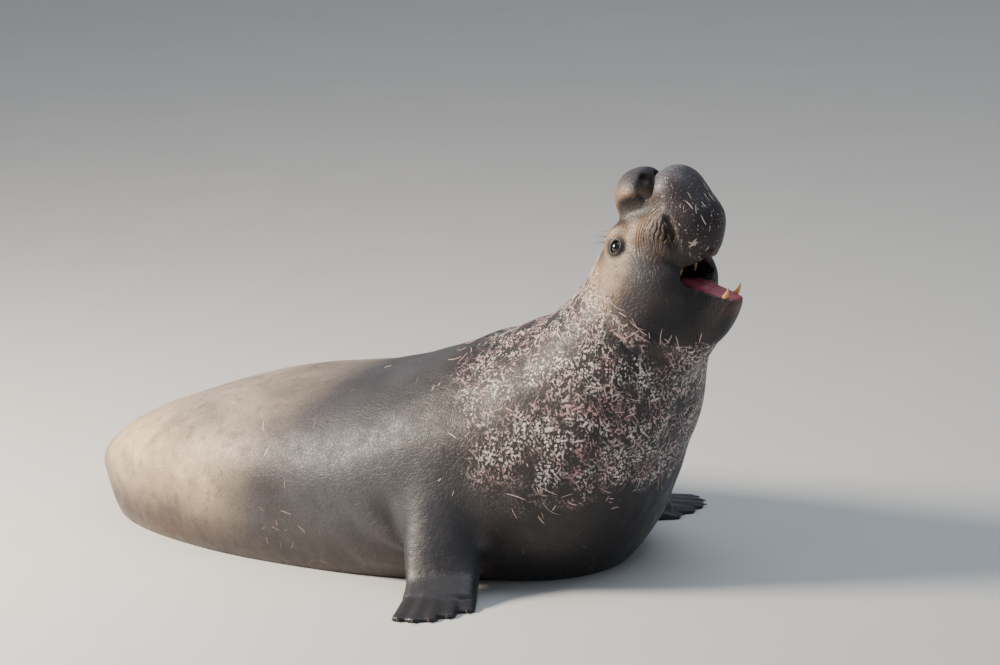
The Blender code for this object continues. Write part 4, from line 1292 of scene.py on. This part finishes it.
# %% Horns along a bent line
def horn_rows(base, direction, curve, length, radius, sunk, steps=5):
    """Rows of a curved, tapering horn: its root is sunk, and it leans towards curve."""
    direction, curve = np.asarray(direction, float), np.asarray(curve, float)
    rows = []
    for t in np.linspace(0.0, 1.0, steps):
        s = t * (length + sunk) - sunk
        lean = max(s, 0.0) ** 2 / length
        r = radius * (1.0 - 0.86 * max(s, 0.0) / length) * (0.75 + 0.25 * min(1.0, (s + sunk) / sunk))
        rows.append(np.r_[base + direction * s + curve * lean, r, r, r])
    return rows


def tube_points(rows, side, sides, stations):
    """A ring of points, width cos + height sin, at each station, with a pole at either end."""
    c = smooth_rows(rows, stations)
    tangent, lateral, upward = path_frames(c, side)
    turn = np.linspace(0.0, 2 * np.pi, sides, endpoint=False)
    cos, sin = np.cos(turn)[None, :, None], np.sin(turn)[None, :, None]
    tall = np.where(sin > 0, c[:, 4][:, None, None], c[:, 5][:, None, None])
    rings = c[:, None, :3] + lateral[:, None] * c[:, 3][:, None, None] * cos + upward[:, None] * tall * sin
    poles = [c[0, :3] - tangent[0] * 0.6 * c[0, 4], c[-1, :3] + tangent[-1] * 0.6 * c[-1, 4]]
    return np.concatenate([rings.reshape(-1, 3), poles]), closed_faces(stations, sides)


def solid_piece(name, parts, material, replaced=()):
    """One object made of several closed point-and-face parts, facing outwards."""
    points, faces, start = [], [], 0
    for part_points, part_faces in parts:
        points.append(part_points)
        faces += [tuple(i + start for i in f) for f in part_faces]
        start += len(part_points)
    points = np.concatenate(points)
    mesh = bpy.data.meshes.new(name)
    mesh.from_pydata(points, [], faces)
    bm = bmesh.new()
    bm.from_mesh(mesh)
    bmesh.ops.recalc_face_normals(bm, faces=bm.faces)
    bm.to_mesh(mesh)
    bm.free()
    return place(mesh, points, name, material, replaced)


# %% [markdown]
# ## Teeth
# A bull's lower canines stand up at the front of the jaw, stained orange-ivory in
# streaks, and the upper ones hang behind the proboscis. All four share one function, which only
# turns and shortens them.

# %% Canines
def ivory_finish():
    made = Finish("ivory", 0.28, Subsurface_Weight=0.15, Subsurface_Scale=0.004)
    streak = made.noise(220.0, 3.0)
    colour = made.mix(made.between(streak, 0.3, 0.7), paint(226, 178, 112), paint(206, 146, 78))
    return made.finish(colour, None, made.bump(streak, 0.0006, 0.4))


def canine_rows(sign, upper):
    if upper:
        base, down = skin_point(in_head(0.236, sign * 0.050, -0.08), -0.98 * UPWARD - 0.2 * FORWARD)
        return horn_rows(base, down, -FORWARD, 0.024, CANINE_RADIUS * 0.9, 0.028)
    lean = -0.10 * UPWARD + 0.97 * FORWARD + sign * 0.12 * LEFT
    base, lean = skin_point(in_head(0.18, sign * 0.028, -0.348), lean)
    return horn_rows(base, lean, UPWARD * 0.35, 0.042, CANINE_RADIUS, 0.03)


ivory = ivory_finish()
for side, sign in (("right", -1), ("left", 1)):
    for level in ("lower", "upper"):
        rows = canine_rows(sign, level == "upper")
        name = level + "_canine_" + side
        solid_piece(name + "_tooth", [tube_points(rows, LEFT, 20, 18)], ivory, [name])

# %% [markdown]
# ## Tongue
# The tongue lies in the floor of the mouth, broad and rounded, with small bumps all over. It
# is wet, so its gloss is sharp, and a little light passes through it. One oval tube is enough
# for it, since only its back shows.

# %% The tongue
def mouth_finish():
    made = Finish("wet_flesh", 0.28, Subsurface_Weight=0.25, Subsurface_Scale=0.01,
                  Coat_Weight=0.4, Coat_Roughness=0.15)
    colour = made.mix(made.between(made.noise(40.0), 0.3, 0.7), paint(196, 104, 118), paint(160, 76, 90))
    return made.finish(colour, None, made.bump(made.noise(300.0, 2.0), 0.0015, 0.5))


wet_flesh = mouth_finish()
tongue_points, tongue_faces = tube_points(head_rows(TONGUE), LEFT, 36, 40)
solid_piece("tongue_flesh", [(tongue_points, tongue_faces)], wet_flesh, ["tongue"])


# %% [markdown]
# ## Eyes
# A diving seal has very large, very dark eyes. Under the wet cornea the iris is a brown so deep
# that the eye reads as black with one bright highlight. A sphere with a clear coat does this.

# %% The eyes
def eye_finish():
    made = Finish("wet_eye", 0.12, Coat_Weight=0.5, Coat_Roughness=0.03)
    colour = made.mix(made.attribute("iris"), paint(5, 5, 6), paint(14, 10, 9))
    return made.finish(colour)


def eyeball(side):
    """A globe with its pole towards the gaze; the cornea swells by 1.5 mm round the pole."""
    centre, outward = EYES[side]
    across = np.cross(outward, FORWARD)
    across /= np.linalg.norm(across)
    third = np.cross(outward, across)
    rings, columns = 40, 48
    polar = np.linspace(0.0, np.pi, rings + 2)[1:-1][:, None]
    turn = np.linspace(0.0, 2 * np.pi, columns, endpoint=False)[None]
    radius = EYE_RADIUS + 0.0015 * ramp(np.cos(polar), 0.70, 0.95)
    points = centre + (
        (radius * np.cos(polar))[..., None] * outward
        + (radius * np.sin(polar) * np.cos(turn))[..., None] * across
        + (radius * np.sin(polar) * np.sin(turn))[..., None] * third
    )
    poles = [centre + outward * (EYE_RADIUS + 0.0015), centre - outward * EYE_RADIUS]
    points = np.concatenate([points.reshape(-1, 3), poles])
    return points, closed_faces(rings, columns), np.linalg.norm(np.cross(points - centre, outward), axis=1)


wet_eye = eye_finish()
for side in ("right", "left"):
    ball_points, ball_faces, off_axis = eyeball(side)
    ball = solid_piece("eyeball_" + side, [(ball_points, ball_faces)], wet_eye, ["eye_" + side])
    write_attribute(ball.data, "iris", ramp(off_axis, 0.007, 0.010) * (1 - ramp(off_axis, 0.016, 0.019)))


# %% [markdown]
# ## Claws
# Each fore flipper carries five dark claws at its edge, one on each digit, curved a little
# towards the ground. They are the same horns as the canines, in dark and paler streaks.

# %% Claws
def claw_finish():
    made = Finish("claw_horn", 0.35)
    colour = made.mix(made.between(made.noise(160.0, 3.0), 0.3, 0.7), paint(46, 40, 38), paint(84, 74, 66))
    return made.finish(colour, None, made.bump(made.noise(400.0, 2.0), 0.0005, 0.4))


def claw_rows(side):
    """Rows of the five claws of a fore flipper, each on the back of its digit's tip."""
    digits, _ = fore_digits(side)
    mirror = np.array([1.0, -1.0 if side == "right" else 1.0, 1.0])
    claws = []
    for rows in digits:
        tip, knee = np.array(rows[2][:3]), np.array(rows[1][:3])
        along = (tip - knee) * [1, 1, 0]
        along /= np.linalg.norm(along)
        base = tip + along * 0.002 + [0, 0, 0.004]
        claw = horn_rows(base, along, [0, 0, -0.10], CLAW_LENGTH * 0.62, CLAW_RADIUS, 0.022, 4)
        claws.append([np.r_[row[:3] * mirror, row[3:]] for row in claw])
    return claws


claw_horn = claw_finish()
for side in ("right", "left"):
    parts = [tube_points(rows, (0, 0, 1), 14, 12) for rows in claw_rows(side)]
    solid_piece("claws_" + side, parts, claw_horn)


# %% [markdown]
# ## Whiskers
# Stiff tan whiskers stand in rows on each pad, and a few on the brow. Each is a tapering tube
# along a gentle arc, and all of one side are one mesh worked out in a single array.

# %% Whiskers
def hair_tubes(roots, directions, sag, lengths, radius, sides=5, stations=9):
    """Arcs root + direction t L + sag (t L)^2, each a ring that shrinks to a point."""
    t = np.linspace(0.0, 1.0, stations)
    run = lengths[:, None] * t
    centre = roots[:, None] + directions[:, None] * run[..., None] + sag[:, None] * (run**2)[..., None]
    tangent = directions[:, None] + 2 * sag[:, None] * run[..., None]
    tangent /= np.linalg.norm(tangent, axis=2)[..., None]
    side = np.cross(tangent, np.array([0.31, 0.22, 0.92]))
    side /= np.linalg.norm(side, axis=2)[..., None]
    third = np.cross(tangent, side)
    turn = np.linspace(0, 2 * np.pi, sides, endpoint=False)
    thick = (radius * (1 - 0.85 * t))[None, :, None, None]
    rings = centre[:, :, None] + thick * (
        side[:, :, None] * np.cos(turn)[None, None, :, None]
        + third[:, :, None] * np.sin(turn)[None, None, :, None]
    )
    points = rings.reshape(-1, 3)
    each = stations * sides
    faces = grid_faces(stations, sides)
    starts = np.arange(len(roots))[:, None] * each
    all_faces = (faces[None] + starts[..., None]).reshape(-1, 4)
    ends = [tuple(s + k for k in range(sides))[::-1] for s in starts[:, 0]]
    ends += [tuple(s + each - sides + k for k in range(sides)) for s in starts[:, 0]]
    return points, [tuple(f) for f in all_faces] + ends


def on_skin(f, l, u):
    """The skin's points nearest to places given in the head's frame, settled onto it."""
    return settle(skin, in_head(f, l, u), 4, 0.03)


def whiskers(sign, seed):
    draw = np.random.default_rng(seed)
    rows, along = np.meshgrid(np.arange(6), np.arange(7), indexing="ij")
    f = 0.345 - 0.017 * rows.ravel() + draw.uniform(-0.003, 0.003, 42)
    u = 0.035 - 0.022 * along.ravel() + 0.004 * rows.ravel() + draw.uniform(-0.003, 0.003, 42)
    l = np.full(42, sign * 0.155)
    roots = on_skin(f, l, u)
    g = gradient(skin, roots)
    normal = g / np.linalg.norm(g, axis=1)[:, None]
    back = -0.75 * FORWARD - 0.55 * UPWARD
    direction = 0.55 * normal + back + draw.normal(0, 0.12, (42, 3))
    direction /= np.linalg.norm(direction, axis=1)[:, None]
    sag = np.tile([0.0, 0.0, -1.6], (42, 1)) + draw.normal(0, 0.8, (42, 3))
    lengths = draw.uniform(0.022, 0.065, 42)
    brow = on_skin(draw.uniform(0.07, 0.13, 8), np.full(8, sign * 0.08), np.full(8, 0.15))
    up = 0.7 * UPWARD + sign * 0.3 * LEFT - 0.5 * FORWARD + draw.normal(0, 0.15, (8, 3))
    up /= np.linalg.norm(up, axis=1)[:, None]
    roots = np.concatenate([roots - normal * 0.003, brow - up * 0.003])
    direction = np.concatenate([direction, up])
    sag = np.concatenate([sag, draw.normal(0, 1.5, (8, 3))])
    lengths = np.concatenate([lengths, draw.uniform(0.035, 0.07, 8)])
    return hair_tubes(roots, direction, sag, lengths, 0.0010)


def whisker_finish():
    made = Finish("whisker_hair", 0.4)
    colour = made.mix(made.noise(60.0, 2.0), paint(150, 108, 62), paint(74, 52, 36))
    return made.finish(colour)


whisker_hair = whisker_finish()
for side, sign in (("right", -1), ("left", 1)):
    solid_piece("whiskers_" + side, [whiskers(sign, 5 + sign)], whisker_hair)


# %% [markdown]
# ## Raised gashes
# The longest scars are ridges that catch the light. Each is a ribbon with a raised middle: a
# start on the skin, a heading that mostly runs down and forward, and a slight bend. All of them
# are one array of points, and Newton steps lay the whole array on the skin at once.

# %% Gashes
STATIONS, STRANDS = 9, 3
GASHES = 620


def ribbons(start, heading, length, half, bend):
    """Ribbons with STRANDS points across, laid on the skin and lifted in the middle."""
    count = len(start)
    g = gradient(flesh, start)
    normal = g / np.linalg.norm(g, axis=1)[:, None]
    heading = heading - (heading * normal).sum(1)[:, None] * normal
    heading /= np.linalg.norm(heading, axis=1)[:, None]
    aside = np.cross(normal, heading)
    t = np.linspace(-0.5, 0.5, STATIONS)
    run = length[:, None] * t
    middle = start[:, None] + heading[:, None] * run[..., None]
    middle = middle + aside[:, None] * (bend[:, None] * run**2)[..., None]
    wide = half[:, None] * np.sqrt(np.clip(1 - (2 * t) ** 2, 0.02, 1))
    across = np.array([-1.0, 0.0, 1.0])[None, None, :, None]
    points = middle[:, :, None] + aside[:, None, None] * wide[..., None, None] * across
    points = settle(skin, points.reshape(-1, 3), 2)
    g = gradient(skin, points)
    normal = g / np.linalg.norm(g, axis=1)[:, None]
    return points + normal * np.tile([0.0002, 0.0010, 0.0002], count * STATIONS)[:, None]


def body_gashes(count, draw):
    """Bites strewn over the shield, most of them at its rim, and a few over the back."""
    rim = masks["shield"] * (1.05 - masks["shield"]) * 4
    plain = 0.03 * (1 - masks["head"]) * (1 - masks["limb"])
    weight = np.clip(rim + 0.35 * masks["shield"] + plain, 0, 1) * (skin_points[:, 2] > 0.15)
    start = skin_points[draw.choice(len(skin_points), count, p=weight / weight.sum())]
    heading = np.array([0.35, 0.0, -0.75]) + draw.normal(0, 0.55, (count, 3))
    length = draw.gamma(2.0, 0.016, count) + 0.010
    return ribbons(start, heading, length, draw.uniform(0.0008, 0.0021, count), draw.normal(0, 4.0, count))


def nose_gashes(draw):
    """A star of crossing bites low on the right of the bag, and long nicks down its front."""
    star_forward = 0.372 + draw.normal(0, 0.009, 10)
    star = on_skin(star_forward, np.full(10, -0.10), -0.155 + draw.normal(0, 0.012, 10))
    nick_forward = 0.46 + draw.normal(0, 0.012, 7)
    nicks = on_skin(nick_forward, draw.uniform(-0.07, 0.03, 7), draw.uniform(-0.13, 0.03, 7))
    heading = np.concatenate([draw.normal(0, 1.0, (10, 3)), -UPWARD + draw.normal(0, 0.25, (7, 3))])
    length = np.concatenate([draw.uniform(0.014, 0.036, 10), draw.uniform(0.02, 0.05, 7)])
    return ribbons(np.concatenate([star, nicks]), heading, length, draw.uniform(0.0012, 0.0026, 17),
                   draw.normal(0, 6.0, 17))


def scar_finish():
    made = Finish("healed_scar", 0.5)
    colour = made.mix(made.noise(14.0, 3.0), paint(224, 204, 192), paint(190, 146, 142))
    return made.finish(colour, None, made.bump(made.noise(300.0, 2.0), 0.0006, 0.4))


draw = np.random.default_rng(21)
gash_points = np.concatenate([body_gashes(GASHES, draw), nose_gashes(draw)])
starts = np.arange(0, len(gash_points), STATIONS * STRANDS)
gash_faces = (grid_faces(STATIONS, STRANDS, closed=False) + starts[:, None, None]).reshape(-1, 4)
gash_data = bpy.data.meshes.new("gashes")
gash_data.from_pydata(gash_points, [], gash_faces)
place(gash_data, gash_points, "gashes", scar_finish())


# %% [markdown]
# ## The floor
# A museum would show the model on a plain pale floor. One large sheet, with a trace of tone in
# it, is enough.

# %% The floor
def floor_sheet(half=45.0):
    mesh = bpy.data.meshes.new("floor")
    corners = [(-half, -half, 0), (half, -half, 0), (half, half, 0), (-half, half, 0)]
    mesh.from_pydata(corners, [], [(0, 1, 2, 3)])
    made = Finish("floor_paint", 0.75)
    tone = made.noise(2.0, 3.0)
    piece = bpy.data.objects.new("floor", mesh)
    mesh.materials.append(made.finish(made.mix(tone, paint(212, 212, 210), paint(205, 205, 203))))
    bpy.context.scene.collection.objects.link(piece)


floor_sheet()

# %% [markdown]
# ## The camera
# The view is that of a long lens from the seal's right, a little above it and slightly rolled.
# It could be found by eye in the viewport. Here it is worked out from a turn, a rise, a roll, a
# distance and the scale of the picture, so that each can be changed on its own.

# %% The camera, fitted to the photograph's view
VIEW_TURN, VIEW_RISE, VIEW_ROLL = math.radians(36.0), math.radians(13.5), math.radians(-3.0)
VIEW_DISTANCE, PIXELS_PER_METRE = 18.0, 255.0
IMAGE_SIZE, FEET_AT_PIXEL = (1000.0, 665.0), (569.0, 560.0)


def view_axes():
    """The camera's right, up and backward directions."""
    a, e, r = VIEW_TURN, VIEW_RISE, VIEW_ROLL
    right = np.array([math.cos(a), math.sin(a), 0.0])
    up = np.array([-math.sin(a) * math.sin(e), math.cos(a) * math.sin(e), math.cos(e)])
    back = np.array([math.sin(a) * math.cos(e), -math.cos(a) * math.cos(e), math.sin(e)])
    return right * math.cos(r) + up * math.sin(r), up * math.cos(r) - right * math.sin(r), back


def add_camera():
    right, up, back = view_axes()
    aside = (FEET_AT_PIXEL[0] - IMAGE_SIZE[0] / 2) / PIXELS_PER_METRE
    above = (IMAGE_SIZE[1] / 2 - FEET_AT_PIXEL[1]) / PIXELS_PER_METRE
    at = SHIFT - right * aside - up * above + back * VIEW_DISTANCE
    lens = bpy.data.cameras.new("camera")
    lens.lens = lens.sensor_width * PIXELS_PER_METRE * VIEW_DISTANCE / IMAGE_SIZE[0]
    camera = bpy.data.objects.new("camera", lens)
    turn = np.eye(4)
    turn[:3, 0], turn[:3, 1], turn[:3, 2], turn[:3, 3] = right, up, back, at
    camera.matrix_world = Matrix(turn.tolist())
    bpy.context.scene.collection.objects.link(camera)
    bpy.context.scene.camera = camera


add_camera()
print("camera at", [round(v, 2) for v in bpy.context.scene.camera.matrix_world.translation])

# %% [markdown]
# ## Light
# A large warm panel stands in for the low sun on the seal's tail side, and a cool one for the
# open sky. A sun lamp would give hard shadows, and panels keep them soft. The world fills the
# rest.

# %% Lights
def panel(name, direction, distance, size, power, colour):
    """An area light that looks at the middle of the body from a direction."""
    light = bpy.data.lights.new(name, "AREA")
    light.shape = "DISK"
    light.size = size
    light.energy = power
    light.color = colour
    lamp = bpy.data.objects.new(name, light)
    direction = np.asarray(direction, float) / np.linalg.norm(direction)
    lamp.location = Vector((0.0, 0.0, 0.6)) + Vector(direction * distance)
    lamp.rotation_euler = Vector(direction).to_track_quat("Z", "Y").to_euler()
    bpy.context.scene.collection.objects.link(lamp)


right, up, back = view_axes()
panel("low_sun", -0.95 * right + 0.24 * back + 0.48 * up, 7.0, 2.4, 1500.0, (1.0, 0.87, 0.72))
panel("open_sky", 0.30 * right + 0.45 * back + 1.0 * up, 8.0, 5.0, 230.0, (0.80, 0.90, 1.0))
world = bpy.data.worlds.new("studio")
world.use_nodes = True
world.node_tree.nodes["Background"].inputs["Color"].default_value = (0.80, 0.88, 1.0, 1.0)
world.node_tree.nodes["Background"].inputs["Strength"].default_value = 0.36
bpy.context.scene.world = world
print("lights:", len(bpy.data.lights))
